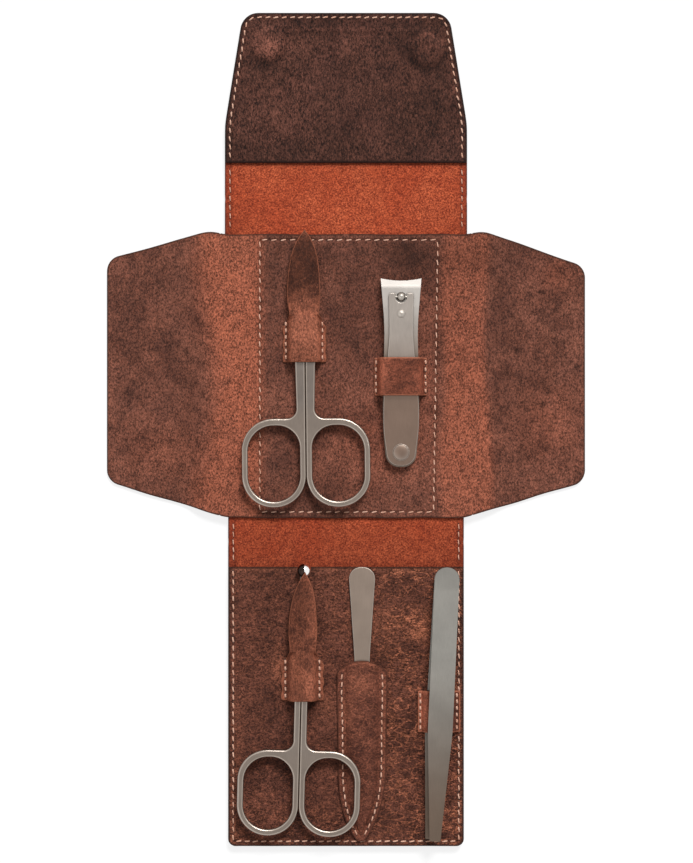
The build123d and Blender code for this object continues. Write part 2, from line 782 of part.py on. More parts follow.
def clipper_lever():
    """Thumb lever stored flat along the upper leaf, forked around the post."""
    fork = lever_fork_width / 2
    waist = lever_waist_width / 2
    thumb = lever_thumb_width / 2
    end = lever_foot_width / 2
    foot = lever_from_tail
    top = foot + lever_length
    waist_y = top - lever_waist_from_top
    thumb_y = foot + lever_thumb_stretch
    taper_y = foot + lever_taper_length
    end_round = end - split_gap
    plan = rounded([
        (fork, top, lever_prong_radius), (waist, waist_y, lever_waist_radius),
        (thumb, thumb_y, lever_thumb_radius), (thumb, taper_y, lever_thumb_radius), (end, foot, end_round),
        (-end, foot, end_round), (-thumb, taper_y, lever_thumb_radius), (-thumb, thumb_y, lever_thumb_radius),
        (-waist, waist_y, lever_waist_radius), (-fork, top, lever_prong_radius),
    ])
    notch = Pos(0, post_from_tail) * Circle(lever_notch_radius)
    notch += Pos(0, post_from_tail + lever_length / 2) * Rectangle(2 * lever_notch_radius, lever_length)
    flat = raised(plan - notch, -lever_thickness / 2, lever_thickness / 2)
    flat = fillet(flat_edges(flat, lever_thickness / 2), lever_edge_round)
    thumb_disc = disc(0, thumb_disc_from_tail, thumb_disc_diameter, 0, lever_thickness / 2 + thumb_disc_rise)
    thumb_disc = fillet(flat_edges(thumb_disc, lever_thickness / 2 + thumb_disc_rise), thumb_disc_round)
    sphere_radius = (fulcrum_diameter ** 2 / 4 + fulcrum_rise ** 2) / (2 * fulcrum_rise)
    dome_low = lever_thickness / 2 + fulcrum_rise - sphere_radius
    dome = (Pos(0, fulcrum_from_tail, dome_low) * Sphere(sphere_radius)) & disc(
        0, fulcrum_from_tail, fulcrum_diameter, 0, 2 * sphere_radius)
    pin_bore = Pos(0, post_from_tail, 0) * Rot(0, 90, 0) * Cylinder(
        cross_pin_diameter / 2 + pin_fit, 2 * (lever_notch_radius + cross_pin_hold + pin_fit))
    lever = flat + thumb_disc + dome - pin_bore
    tilt = Pos(0, post_from_tail, lever_pivot_height()) * Rot(lever_slope, 0, 0) * Pos(0, -post_from_tail, 0)
    return tilt * lever


def nail_clipper():
    """Lower and upper leaf, tail rivet, post, cross pin and lever of the nail clipper."""
    lower, upper = clipper_leaves()
    low = rest_clearance
    post_y = post_from_tail
    pivot = lever_pivot_height()
    foot_top = low + post_foot_thickness
    lower -= disc(0, post_y, post_diameter + 2 * pin_fit, 0, 2 * surface)
    lower -= disc(0, post_y, post_foot_diameter + 2 * pin_fit, 0, foot_top + pin_fit)
    upper -= disc(0, post_y, post_diameter + 2 * post_leaf_clearance, 0, 3 * surface)
    post = disc(0, post_y, post_foot_diameter, low, foot_top) + disc(0, post_y, post_diameter, low, pivot)
    post += Pos(0, post_y, pivot) * Sphere(post_head_diameter / 2)
    pin_line = Pos(0, post_y, pivot) * Rot(0, 90, 0)
    post -= pin_line * Cylinder(cross_pin_diameter / 2 + pin_fit, 2 * post_head_diameter)
    cross_pin = pin_line * Cylinder(cross_pin_diameter / 2, 2 * (lever_notch_radius + cross_pin_hold))

    rivet_y = tail_rivet_from_tail
    upper_top = upper_leaf_bottom() + clipper_leaf
    head = tail_rivet_head_thickness
    seat = 2 * pin_fit
    low_head = low + head
    high_head = upper_top - seat
    lower -= disc(0, rivet_y, tail_rivet_diameter + 2 * pin_fit, 0, low + 2 * clipper_leaf)
    lower -= disc(0, rivet_y, tail_rivet_head + 2 * seat, 0, low_head + pin_fit)
    upper -= disc(0, rivet_y, tail_rivet_diameter + 2 * seat, 0, 2 * surface)
    upper -= disc(0, rivet_y, tail_rivet_head + 2 * seat, high_head - head - seat, 2 * surface)
    rivet = disc(0, rivet_y, tail_rivet_diameter, low, high_head)
    rivet += disc(0, rivet_y, tail_rivet_head, low, low_head)
    rivet += disc(0, rivet_y, tail_rivet_head, high_head - head, high_head)

    place = Pos(clipper_x, clipper_tail_y, surface)
    return {
        "clipper_lower_leaf": place * lower,
        "clipper_upper_leaf": place * upper,
        "clipper_tail_rivet": place * rivet,
        "clipper_post": place * post,
        "clipper_cross_pin": place * cross_pin,
        "clipper_lever": place * clipper_lever(),
    }


# ---------------------------------------------------------------- file and tweezers
def nail_file():
    """Flat nail file: wide round grip, narrow neck and a blade that tapers to a point."""
    grip = file_handle_width / 2
    neck = file_neck_width / 2
    blade = file_blade_width / 2
    point = file_point_width / 2
    top = file_top_y
    tip = top - file_length
    neck_y = sheath_mouth_y
    blade_y = neck_y - file_blade_start
    taper_y = tip + file_taper_length
    end_round = grip * file_end_roundness
    point_round = point * file_point_roundness
    side = file_side_radius
    taper = file_taper_radius
    plan = rounded([
        (grip, top, end_round), (grip, top - grip, file_grip_radius), (neck, neck_y, side),
        (blade, blade_y, side), (blade, taper_y, taper), (point, tip, point_round),
        (-point, tip, point_round), (-blade, taper_y, taper), (-blade, blade_y, side),
        (-neck, neck_y, side), (-grip, top - grip, file_grip_radius), (-grip, top, end_round),
    ])
    low = surface + rest_clearance
    blade_solid = raised(plan, low, low + file_thickness)
    blade_solid = fillet(flat_edges(blade_solid, low + file_thickness), file_edge_round)
    return Pos(file_x, 0, 0) * blade_solid


def tweezers_arm_solid(sign):
    """One sprung arm: flat and welded at the closed end, bowed, closing in towards its tip."""
    half = tweezers_width / 2
    tip_half = tweezers_tip_width / 2
    length = tweezers_length
    end_round = half - split_gap
    taper_y = tweezers_taper_length - length
    side = tweezers_side_radius
    plan = rounded([
        (half, 0, end_round), (half, taper_y, side), (tip_half, -length, tweezers_tip_radius),
        (-tip_half, -length, tweezers_tip_radius), (-half, taper_y, side), (-half, 0, end_round),
    ])
    weld = lap_gap / 2
    belly = tweezers_belly_gap / 2
    tip_gap = tweezers_tip_gap / 2
    arm = tweezers_arm
    start = -tweezers_weld_length
    turn_y = -tweezers_belly_at
    past_end = arm
    past_tip = -length - arm
    weld_round = tweezers_weld_radius
    belly_round = tweezers_belly_radius
    inner = [
        (past_end, weld, 0), (start, weld, weld_round), (turn_y, belly, belly_round), (past_tip, tip_gap, 0),
    ]
    outer = [
        (past_tip, tip_gap + arm, 0), (turn_y, belly + arm, belly_round), (start, weld + arm, weld_round),
        (past_end, weld + arm, 0),
    ]
    profile = rounded([(y, sign * z, radius) for y, z, radius in inner + outer])
    return raised(plan, -surface, surface) & along_x(profile, 2 * tweezers_width)


def tweezers_height():
    """Height of the middle plane of the tweezers above the tool panel."""
    return rest_clearance + tweezers_belly_gap / 2 + tweezers_arm


def tweezers():
    """Front arm above the leather loop and rear arm below it, joined at the closed end."""
    place = Pos(tweezers_x, tweezers_top_y, surface + tweezers_height()) * Rot(0, 0, tweezers_turn)
    return {
        "tweezers_front_arm": place * tweezers_arm_solid(1),
        "tweezers_rear_arm": place * Rot(0, 0, tweezers_rear_turn) * tweezers_arm_solid(-1),
    }


# ---------------------------------------------------------------- the whole set
pieces = case_leather()
add_magnets(pieces)
pieces["nail_scissors_tongue"] = nail_tongue()
pieces["clipper_loop"] = loop(
    clipper_loop_width, clipper_loop_height, clipper_loop_tab, clipper_loop_length, clipper_loop_x,
    clipper_loop_foot_y)
pieces["ball_scissors_tongue"] = ball_tongue()
pieces["tweezers_loop"] = loop(
    tweezers_loop_width, tweezers_loop_height, tweezers_loop_tab, tweezers_loop_length,
    tweezers_loop_x, tweezers_loop_foot_y)
pieces["file_sheath"] = file_sheath()
pieces.update(nail_scissors())
pieces.update(ball_scissors())
pieces.update(nail_clipper())
pieces["nail_file"] = nail_file()
pieces.update(tweezers())

os.makedirs("parts", exist_ok=True)
for name, piece in pieces.items():
    solid = piece if name.endswith("_magnets") else single(piece)
    solid.label = name
    export_step(solid, f"parts/{name}.step")
print(f"{len(pieces)} pieces, case {case_length:.1f} mm long, {2 * (wing_fold_x + wing_length):.1f} mm wide")
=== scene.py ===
# %% [markdown]
# # A folding manicure set case in waxed leather
#
# The case lies open on its back. A long strip of leather carries two orange hinges, a flap and a
# tool panel, and a second sheet with two wings crosses its middle. Steel tools sit under stitched
# leather tongues and loops.
#
# The construction model gives every place and every joint. It is loaded first.

# %% Load the construction frame
import bpy
import numpy as np
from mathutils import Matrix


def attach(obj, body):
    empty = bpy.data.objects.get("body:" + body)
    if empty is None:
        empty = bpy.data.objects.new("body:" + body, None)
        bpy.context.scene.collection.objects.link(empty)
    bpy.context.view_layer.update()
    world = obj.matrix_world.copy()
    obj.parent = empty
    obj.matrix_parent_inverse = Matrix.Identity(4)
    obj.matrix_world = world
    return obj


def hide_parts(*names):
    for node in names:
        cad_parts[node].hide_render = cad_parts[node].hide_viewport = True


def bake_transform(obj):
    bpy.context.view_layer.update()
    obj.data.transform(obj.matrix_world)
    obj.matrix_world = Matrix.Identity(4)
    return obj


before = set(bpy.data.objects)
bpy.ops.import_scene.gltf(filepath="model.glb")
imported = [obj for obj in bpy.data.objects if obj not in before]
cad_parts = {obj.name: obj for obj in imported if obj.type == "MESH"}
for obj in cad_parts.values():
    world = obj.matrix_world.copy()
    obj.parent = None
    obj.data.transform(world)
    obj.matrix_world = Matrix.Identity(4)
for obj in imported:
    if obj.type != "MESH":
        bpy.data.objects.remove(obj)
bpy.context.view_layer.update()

# %% [markdown]
# ## The camera
#
# The camera hangs straight above the case with a long lens, so that the thin tools look flat and
# their edges stay parallel. Three pixels stand for one millimetre, and the picture is 863 pixels
# high. The distance follows from that height, the lens and the 36 mm sensor, whose long side is
# the height of the picture.

# %% Camera
MM = 0.001
surface = 3.5
lens = 120.0
pixels_high, pixels_per_mm = 863, 3
camera_x, camera_y = 0.17, -0.67
picture_height = pixels_high / pixels_per_mm * MM

camera_data = bpy.data.cameras.new("overhead_camera")
camera_data.lens = lens
camera_data.clip_end = 20.0
camera = bpy.data.objects.new("overhead_camera", camera_data)
camera_height = surface * MM + picture_height * lens / camera_data.sensor_width
camera.location = (camera_x * MM, camera_y * MM, camera_height)
bpy.context.scene.collection.objects.link(camera)
bpy.context.scene.camera = camera
bpy.context.scene.view_settings.view_transform = "Standard"
print("camera height", round(camera.location.z, 3), "m")

# %% [markdown]
# ## Sizes that the soft pieces share with the construction model
#
# The leather is rebuilt here as thin, bendable sheets, so the fold lines and outlines of the
# construction model are needed again, in millimetres.

# %% Fold lines and widths
outer_leather = 1.3
lining_leather = 1.0
facing_leather = 1.2
holder_leather = 0.9
lining_top = outer_leather + lining_leather

case_end = 139.15
flap_fold = 88.85
upper_fold = 65.15
lower_fold = -29.55
panel_fold = -45.55
upper_half = 40.5
lower_half = 39.4
flap_end_half = 34.5
flap_side_length = 37.0
band_fold = 39.6
wing_fold = 44.6
wing_edge = 79.9
file_x = 5.35
seam_inset = 1.8
stitched_left, stitched_low, stitched_high = -28.7, -27.5, 63.2
print("strip", round(2 * case_end, 1), "mm long, sheet", round(2 * wing_edge, 1), "mm wide")


# %% [markdown]
# ## From arrays of points to meshes
#
# Every new piece is a surface: a grid of points worked out with numpy, in millimetres. One helper
# turns points and faces into a mesh. It also stores each point's place at rest as an attribute.
# The leather bends when the case folds, and a pattern that reads the stored place stays put on
# the leather, as dye does, where a pattern that reads the moved points would swim over it.
#
# Wear, painted highlights and painted shade are put on the points too, as sums of soft spots.

# %% Mesh helpers
def keep_values(piece, name, values):
    """Store one number or one vector for each point of a piece, for its material to read."""
    vector = values.ndim == 2
    layer = piece.data.attributes.new(name, "FLOAT_VECTOR" if vector else "FLOAT", "POINT")
    layer.data.foreach_set("vector" if vector else "value", values.astype(np.float32).ravel())


def mesh_piece(name, points, *face_blocks):
    """Mesh from (n, 3) points in mm and blocks of faces, each block an (m, corners) array."""
    corners = np.concatenate([block.ravel() for block in face_blocks]).astype(np.int32)
    sizes = np.concatenate([np.full(len(block), block.shape[1]) for block in face_blocks])
    mesh = bpy.data.meshes.new(name)
    mesh.vertices.add(len(points))
    mesh.loops.add(len(corners))
    mesh.polygons.add(len(sizes))
    mesh.vertices.foreach_set("co", (points * MM).astype(np.float32).ravel())
    mesh.loops.foreach_set("vertex_index", corners)
    mesh.polygons.foreach_set("loop_start", (np.cumsum(sizes) - sizes).astype(np.int32))
    mesh.update(calc_edges=True)
    mesh.shade_smooth()
    piece = bpy.data.objects.new(name, mesh)
    bpy.context.scene.collection.objects.link(piece)
    keep_values(piece, "rest_place", points * MM)
    return piece


def places_of(piece):
    """The points of a finished piece, in millimetres."""
    flat = np.empty(len(piece.data.vertices) * 3)
    piece.data.vertices.foreach_get("co", flat)
    return flat.reshape(-1, 3) / MM


def paint(piece, **layers):
    """Store layers on a piece, each a function of x and y in mm; wear and painted highlight stay between 0
    and 1.
    """
    x, y = places_of(piece)[:, :2].T
    for name, layer in layers.items():
        values = layer(x, y)
        keep_values(piece, name, np.clip(values, 0, 1) if name == "worn" else values)


def finish_piece(piece, material, body=None, replaces=()):
    """Give a piece its material, the nodes it stands for and the body it rides on."""
    piece.data.materials.append(material)
    if replaces:
        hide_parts(*replaces)
    if body:
        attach(piece, body)


def grid(x, y, z):
    """Grid of points from three arrays, stretched to a common shape."""
    return np.stack(np.broadcast_arrays(x, y, z), -1)


def ease(value, start, end):
    """0 before start, 1 after end, and the smooth cubic 3t2 - 2t3 between them."""
    t = np.clip((value - start) / (end - start), 0, 1)
    return t * t * (3 - 2 * t)


def bell(x, y, centre_x, centre_y, reach_x, reach_y):
    """A soft spot: exp(-u2 - v2), with u and v the distances from its centre over its reaches."""
    return np.exp(-((x - centre_x) / reach_x) ** 2 - ((y - centre_y) / reach_y) ** 2)


def spots(*table):
    """Function of x and y that sums bells of (strength, centre x, centre y, reach x, reach y)."""
    return lambda x, y: sum(strength * bell(x, y, *spot) for strength, *spot in table)


def spread(start, end, pitch, folds=(), fine=0.45, reach=3.6):
    """Places from start to end about a pitch apart, and a fine step apart near each fold."""
    samples = 4000
    line = np.linspace(start, end, samples)
    spacing = np.full_like(line, pitch)
    for fold in folds:
        near = 1 - ease(np.abs(line - fold), reach, reach + 2 * pitch)
        spacing = np.minimum(spacing, pitch + (fine - pitch) * near)
    count = np.concatenate([[0], np.cumsum((end - start) / (samples - 1) / spacing[1:])])
    return np.interp(np.linspace(0, count[-1], int(np.ceil(abs(count[-1]))) + 1), count, line)


# %% [markdown]
# ## A sheet of leather
#
# Cut leather is a thin solid with a rounded, dyed edge. A sheet starts as its top face, a grid of
# points. The under face lies one thickness below it along the surface's own normal, and a few
# rings of points bulge outwards between the two faces to round the edge. Where a sheet is cut only
# in the model, so that it can bend at two folds, the cut side stays flat, and the sheet gets its
# normals from the surface alone, so that the shading runs on over the cut.
#
# The distance from each point to the real edge is stored too. Stitch grooves, edge dye and rubbed
# edges all follow it in the materials.

# %% Leather sheet helper
def unit(vectors):
    """Vectors of length one along the last axis."""
    return vectors / (np.linalg.norm(vectors, axis=-1, keepdims=True) + 1e-9)


def ladder_quads(rows):
    """Quads between each two rows of point numbers, where every row closes on itself."""
    following = np.roll(rows, -1, axis=1)
    return np.stack([rows[:-1], rows[1:], following[1:], following[:-1]], -1).reshape(-1, 4)


def leather_sheet(name, top, thickness, rim=0.3, cuts=()):
    """Closed sheet: top grid, under grid one thickness down the normal, half-round edge between.

    A ring at angle a round the edge lies (1 - cos a) / 2 of the way from top to under, moved
    outwards by rim * sin a.
    """
    rings = 3
    rows, columns = top.shape[:2]
    across, along = np.gradient(top, axis=1), np.gradient(top, axis=0)
    normal = np.cross(across, along)
    normal /= np.linalg.norm(normal, axis=2, keepdims=True)
    under = top - thickness * normal
    numbers = np.arange(rows * columns).reshape(rows, columns)
    loop = np.concatenate([numbers[0, :-1], numbers[:-1, -1], numbers[-1, :0:-1], numbers[:0:-1, 0]])
    row, column = loop // columns, loop % columns
    top, under, normal = top.reshape(-1, 3), under.reshape(-1, 3), normal.reshape(-1, 3)
    edge_top, edge_under = top[loop], under[loop]
    outward = unit(np.cross(np.roll(edge_top, -1, axis=0) - np.roll(edge_top, 1, axis=0), normal[loop]))
    sides = {"low": (row == 0, along), "high": (row == rows - 1, along),
             "left": (column == 0, across), "right": (column == columns - 1, across)}
    real = np.ones(len(loop), bool)
    for side in cuts:
        on_side, direction = sides[side]
        direction = direction.reshape(-1, 3)[loop]
        direction = direction / np.linalg.norm(direction, axis=1, keepdims=True)
        flat = outward - (outward * direction).sum(1, keepdims=True) * direction
        outward = np.where(on_side[:, None], flat, outward)
        real &= ~on_side
    turn = (np.pi * np.arange(1, rings + 1) / (rings + 1))[:, None, None]
    share = (1 - np.cos(turn)) / 2
    edge = (1 - share) * edge_top + share * edge_under + rim * np.sin(turn) * outward
    lower, upper = numbers[:-1], numbers[1:]
    quads = np.stack([lower[:, :-1], lower[:, 1:], upper[:, 1:], upper[:, :-1]], -1).reshape(-1, 4)
    count, around = len(top), len(loop)
    edge_numbers = 2 * count + np.arange(rings * around).reshape(rings, around)
    walls = ladder_quads(np.concatenate([loop[None], edge_numbers, loop[None] + count]))
    points = np.concatenate([top, under, edge.reshape(-1, 3)])
    piece = mesh_piece(name, points, quads, quads[:, ::-1] + count, walls)
    if cuts:
        ring_normal = np.cos(turn) * normal[loop] + np.sin(turn) * outward
        normals = np.concatenate([normal, -normal, ring_normal.reshape(-1, 3)])
        normals /= np.linalg.norm(normals, axis=1, keepdims=True)
        piece.data.normals_split_custom_set_from_vertices(normals)
    gap = distance_to(top, edge_top[real])
    rim_gap = np.tile(np.where(real, 0, gap[loop]), rings)
    keep_values(piece, "edge_gap", np.concatenate([gap, gap, rim_gap]) * MM)
    return piece


def distance_to(points, edge):
    """Distance in the XY plane from each point to the nearest point of an edge."""
    x = points[:, None, 0].astype(np.float32) - edge[None, :, 0].astype(np.float32)
    y = points[:, None, 1].astype(np.float32) - edge[None, :, 1].astype(np.float32)
    return np.sqrt((x * x + y * y).min(axis=1))


def edge_curve(distance, end, slope, radius):
    """Height of an outline near its rounded end, by distance from that end.

    Away from the end it is the line end + slope * distance. Inside the corner it is the circle
    of the given radius that touches both this line and the end.
    """
    centre = end + slope * radius - radius * np.hypot(1, slope)
    touch = radius - radius * slope / np.hypot(1, slope)
    inside = np.clip(radius - distance, 0, radius)
    return np.where(distance < touch, centre + np.sqrt(radius ** 2 - inside ** 2), end + slope * distance)


def soft_least(a, b, softness):
    """The smaller of two values, rounded where they meet."""
    return (a + b - np.sqrt((a - b) ** 2 + softness ** 2)) / 2


# %% [markdown]
# ## Colour and surface effects
#
# The leathers, the steel and the thread share a few effects: mottled dye, hide grain, pulled-up
# creases, rubbed or dyed edges and brushing. Each effect is one node group that gives out masks
# and heights. A material then places the groups with its own sizes and colours, so that the whole
# case looks as if it came from one tannery and one workshop.

# %% Node helpers
def screen(red, green, blue):
    """Linear colour from a screen colour of 0 to 255, by the inverse of the screen's curve."""
    value = np.array([red, green, blue]) / 255
    linear = np.where(value <= 0.04045, value / 12.92, ((value + 0.055) / 1.055) ** 2.4)
    return (*(float(x) for x in linear), 1.0)


class Nodes:
    """A node tree, with short ways to add nodes and to join them."""

    def __init__(self, tree):
        self.tree = tree

    def fill(self, made, inputs):
        """Fill a node's inputs with plain values or with other sockets, and return its outputs."""
        for key, value in inputs.items():
            if isinstance(value, bpy.types.NodeSocket):
                self.tree.links.new(value, made.inputs[key])
            else:
                made.inputs[key].default_value = value
        return made.outputs

    def add(self, kind, inputs, **settings):
        """Outputs of a new node with the given options and inputs."""
        made = self.tree.nodes.new("ShaderNode" + kind)
        for key, value in settings.items():
            setattr(made, key, value)
        return self.fill(made, inputs)

    def effect(self, group, **inputs):
        """Outputs of an effect placed in this tree."""
        return self.add("Group", inputs, node_tree=group.tree)

    def maths(self, operation, *values, clamp=False):
        """Result of one arithmetic node."""
        return self.add("Math", dict(enumerate(values)), operation=operation, use_clamp=clamp)[0]

    def times(self, first, second, plus=None, clamp=False):
        """First times second, plus a third value where one is given."""
        if plus is None:
            return self.maths("MULTIPLY", first, second, clamp=clamp)
        return self.maths("MULTIPLY_ADD", first, second, plus, clamp=clamp)

    def less(self, first, second):
        """First minus second."""
        return self.maths("SUBTRACT", first, second)

    def most(self, first, second):
        """The larger of two values."""
        return self.maths("MAXIMUM", first, second)

    def step(self, value, start, end):
        """Smooth step of a value, from 0 at start to 1 at end."""
        inputs = {"Value": value, "From Min": start, "From Max": end}
        return self.add("MapRange", inputs, interpolation_type="SMOOTHSTEP")["Result"]

    def vector(self, operation, first, second):
        """Result of one vector node; SCALE takes a number as its second value."""
        second_key = "Scale" if operation == "SCALE" else 1
        return self.add("VectorMath", {0: first, second_key: second}, operation=operation)[0]

    def noise(self, place, scale, detail, roughness=0.5, distortion=0.0):
        """Outputs of a noise at a place."""
        return self.add("TexNoise", {"Vector": place, "Scale": scale, "Detail": detail,
                                     "Roughness": roughness, "Distortion": distortion})

    def mix(self, factor, first, second, mode="MIX"):
        """Colour between two colours by a factor."""
        return self.add("Mix", {0: factor, 6: first, 7: second}, data_type="RGBA", blend_type=mode)[2]

    def darken(self, colour, value):
        """Colour times a grey value."""
        return self.mix(1.0, colour, self.add("CombineColor", {0: value, 1: value, 2: value})[0], "MULTIPLY")

    def painted(self, name):
        """A value stored on the points; it is zero where a piece has none."""
        return self.add("Attribute", {}, attribute_type="GEOMETRY", attribute_name=name)["Fac"]

    def rest_place(self):
        """The place at rest stored on the points, in mm."""
        stored = self.add("Attribute", {}, attribute_type="GEOMETRY", attribute_name="rest_place")
        return self.vector("SCALE", stored["Vector"], 1000.0)

    def own_place(self):
        """The place in a solid's own frame, in mm."""
        return self.vector("SCALE", self.add("TexCoord", {})["Object"], 1000.0)

    def bump(self, height, strength, depth):
        """Normal of a bumpy surface; the depth is in mm."""
        return self.add("Bump", {"Height": height, "Strength": strength, "Distance": depth * MM})["Normal"]


def new_group(name, inputs, *outputs):
    """Empty effect: inputs are numbers, or vectors where the starting value is one or is None."""
    tree = bpy.data.node_groups.new(name, "ShaderNodeTree")
    for socket, value in inputs.items():
        kind = "NodeSocketFloat" if isinstance(value, float) else "NodeSocketVector"
        made = tree.interface.new_socket(name=socket, in_out="INPUT", socket_type=kind)
        if value is not None:
            made.default_value = value
    for socket in outputs:
        tree.interface.new_socket(name=socket, in_out="OUTPUT", socket_type="NodeSocketFloat")
    return Nodes(tree), tree.nodes.new("NodeGroupInput").outputs, tree.nodes.new("NodeGroupOutput")


def new_material(name):
    """Empty material, its nodes and its shader."""
    material = bpy.data.materials.new(name)
    material.use_nodes = True
    return material, Nodes(material.node_tree), material.node_tree.nodes["Principled BSDF"]


# %% [markdown]
# ### Mottled dye and hide grain
#
# Waxed leather is dyed unevenly and then rubbed, so its colour wanders over patches a centimetre
# wide. The grain under it is a net of tiny wrinkles with dark crevices, and fine speckle between
# them. It could be painted by hand, but noises give it at any scale: the crevices are the lines
# where a noise crosses its middle value. Stretching the place turns round grain into the fibre
# lines seen where a hide was pulled.

# %% Mottle and grain effects
mottle, given, result = new_group(
    "mottled_dye", {"Place": None, "Patch": 12.0, "Softness": 0.12, "Shift": 0.0}, "Patches", "Clouds")
moved = mottle.vector("ADD", given["Place"], given["Shift"])
clouds = mottle.noise(moved, mottle.maths("DIVIDE", 1.0, given["Patch"]), 5.0, 0.6, 0.5)["Fac"]
low_level = mottle.less(0.5, given["Softness"])
high_level = mottle.maths("ADD", 0.5, given["Softness"])
mottle.fill(result, {"Patches": mottle.step(clouds, low_level, high_level), "Clouds": clouds})

grain, given, result = new_group(
    "hide_grain", {"Place": None, "Cells": (2.0, 2.0, 2.0)}, "Height", "Pores", "Speckle")
stretched = grain.vector("MULTIPLY", given["Place"], given["Cells"])
wrinkle = grain.noise(stretched, 0.7, 3.0, 0.6, 0.8)["Fac"]
specks = grain.noise(stretched, 1.4, 3.0, 0.85, 0.3)["Fac"]
tufts = grain.noise(stretched, 0.4, 3.0, 0.6, 0.5)["Fac"]
mixed = grain.times(tufts, 0.22, grain.times(specks, 0.78))
away = grain.maths("ABSOLUTE", grain.less(wrinkle, 0.5))
crevice = grain.less(1.0, grain.step(away, 0.0, 0.03))
height = grain.times(mixed, 2.0, grain.times(crevice, -0.5))
grain.fill(result, {"Height": height, "Pores": crevice, "Speckle": grain.step(mixed, 0.375, 0.625)})
print("effects", mottle.tree.name, grain.tree.name)

# %% [markdown]
# ### Pulled-up creases
#
# When waxed leather bends, the wax moves away from the fold and leaves a thin, lighter line. Over
# time the lines join into a net. Cell borders on a wandering place give the net, the places where
# a noise crosses its middle value give longer wavy lines, and a slow noise lets the net come and
# go.

# %% Crease effect
creases, given, result = new_group(
    "pulled_up_creases", {"Place": None, "Cells": (0.25, 0.6, 0.4), "Width": 0.03, "Wander": 0.5}, "Lines")
stretched = creases.vector("MULTIPLY", given["Place"], given["Cells"])
wander = creases.vector("SUBTRACT", creases.noise(stretched, 1.2, 2.5, 0.55)["Color"], (0.5, 0.5, 0.5))
bent = creases.vector("ADD", stretched, creases.vector("SCALE", wander, given["Wander"]))
borders = creases.add("TexVoronoi", {"Vector": bent, "Scale": 1.0}, feature="DISTANCE_TO_EDGE")["Distance"]
long_lines = creases.noise(stretched, 0.9, 1.5, distortion=0.6)["Fac"]
shown = creases.step(creases.noise(given["Place"], 0.13, 3.0)["Fac"], 0.34, 0.56)
away = creases.maths("ABSOLUTE", creases.less(long_lines, 0.5))
cell_lines = creases.less(1.0, creases.step(borders, 0.0, creases.times(given["Width"], 3.0)))
wavy_lines = creases.less(1.0, creases.step(away, 0.0, given["Width"]))
lines = creases.most(creases.times(cell_lines, shown), creases.times(wavy_lines, 0.8))
creases.fill(result, {"Lines": lines})
print("effect", creases.tree.name)

# %% [markdown]
# ### Edges and seams
#
# Both work on the stored distance to the edge. An edge mask is one at the rim and fades inwards,
# and a groove is a narrow bell at the line where the thread pulls the leather down.

# %% Edge and groove effects
rubbed, given, result = new_group(
    "edge_band", {"Gap": 0.0, "Width": 0.8, "Ragged": 0.3, "Place": None}, "Mask")
ragged = rubbed.noise(given["Place"], 0.9, 3.0)["Fac"]
gap_mm = rubbed.times(given["Gap"], 1000.0, rubbed.times(rubbed.less(ragged, 0.5), given["Ragged"]))
rubbed.fill(result, {"Mask": rubbed.less(1.0, rubbed.step(gap_mm, 0.0, given["Width"]))})

groove, given, result = new_group("seam_groove", {"Gap": 0.0, "Line": 1.8, "Width": 0.45}, "Mask")
offset = groove.less(groove.times(given["Gap"], 1000.0), given["Line"])
offset = groove.maths("DIVIDE", offset, given["Width"])
fall = groove.times(groove.times(offset, offset), -1.0)
groove.fill(result, {"Mask": groove.maths("POWER", 2.718, fall)})
print("effects", rubbed.tree.name, groove.tree.name)


# %% [markdown]
# ## The leathers
#
# One recipe makes every brown leather: mottled dye between a dark and a middle tone, a warm tone
# where wax has been pushed away, speckled grain, the crease net, a groove under the seam and a
# dark or rubbed edge. Values painted on the points say where a piece is worn or carries a painted
# highlight, and where it is shaded.

# %% Brown leather recipe
no_seam = -50.0
painted_seam = 100.0
leather_shine = 0.12


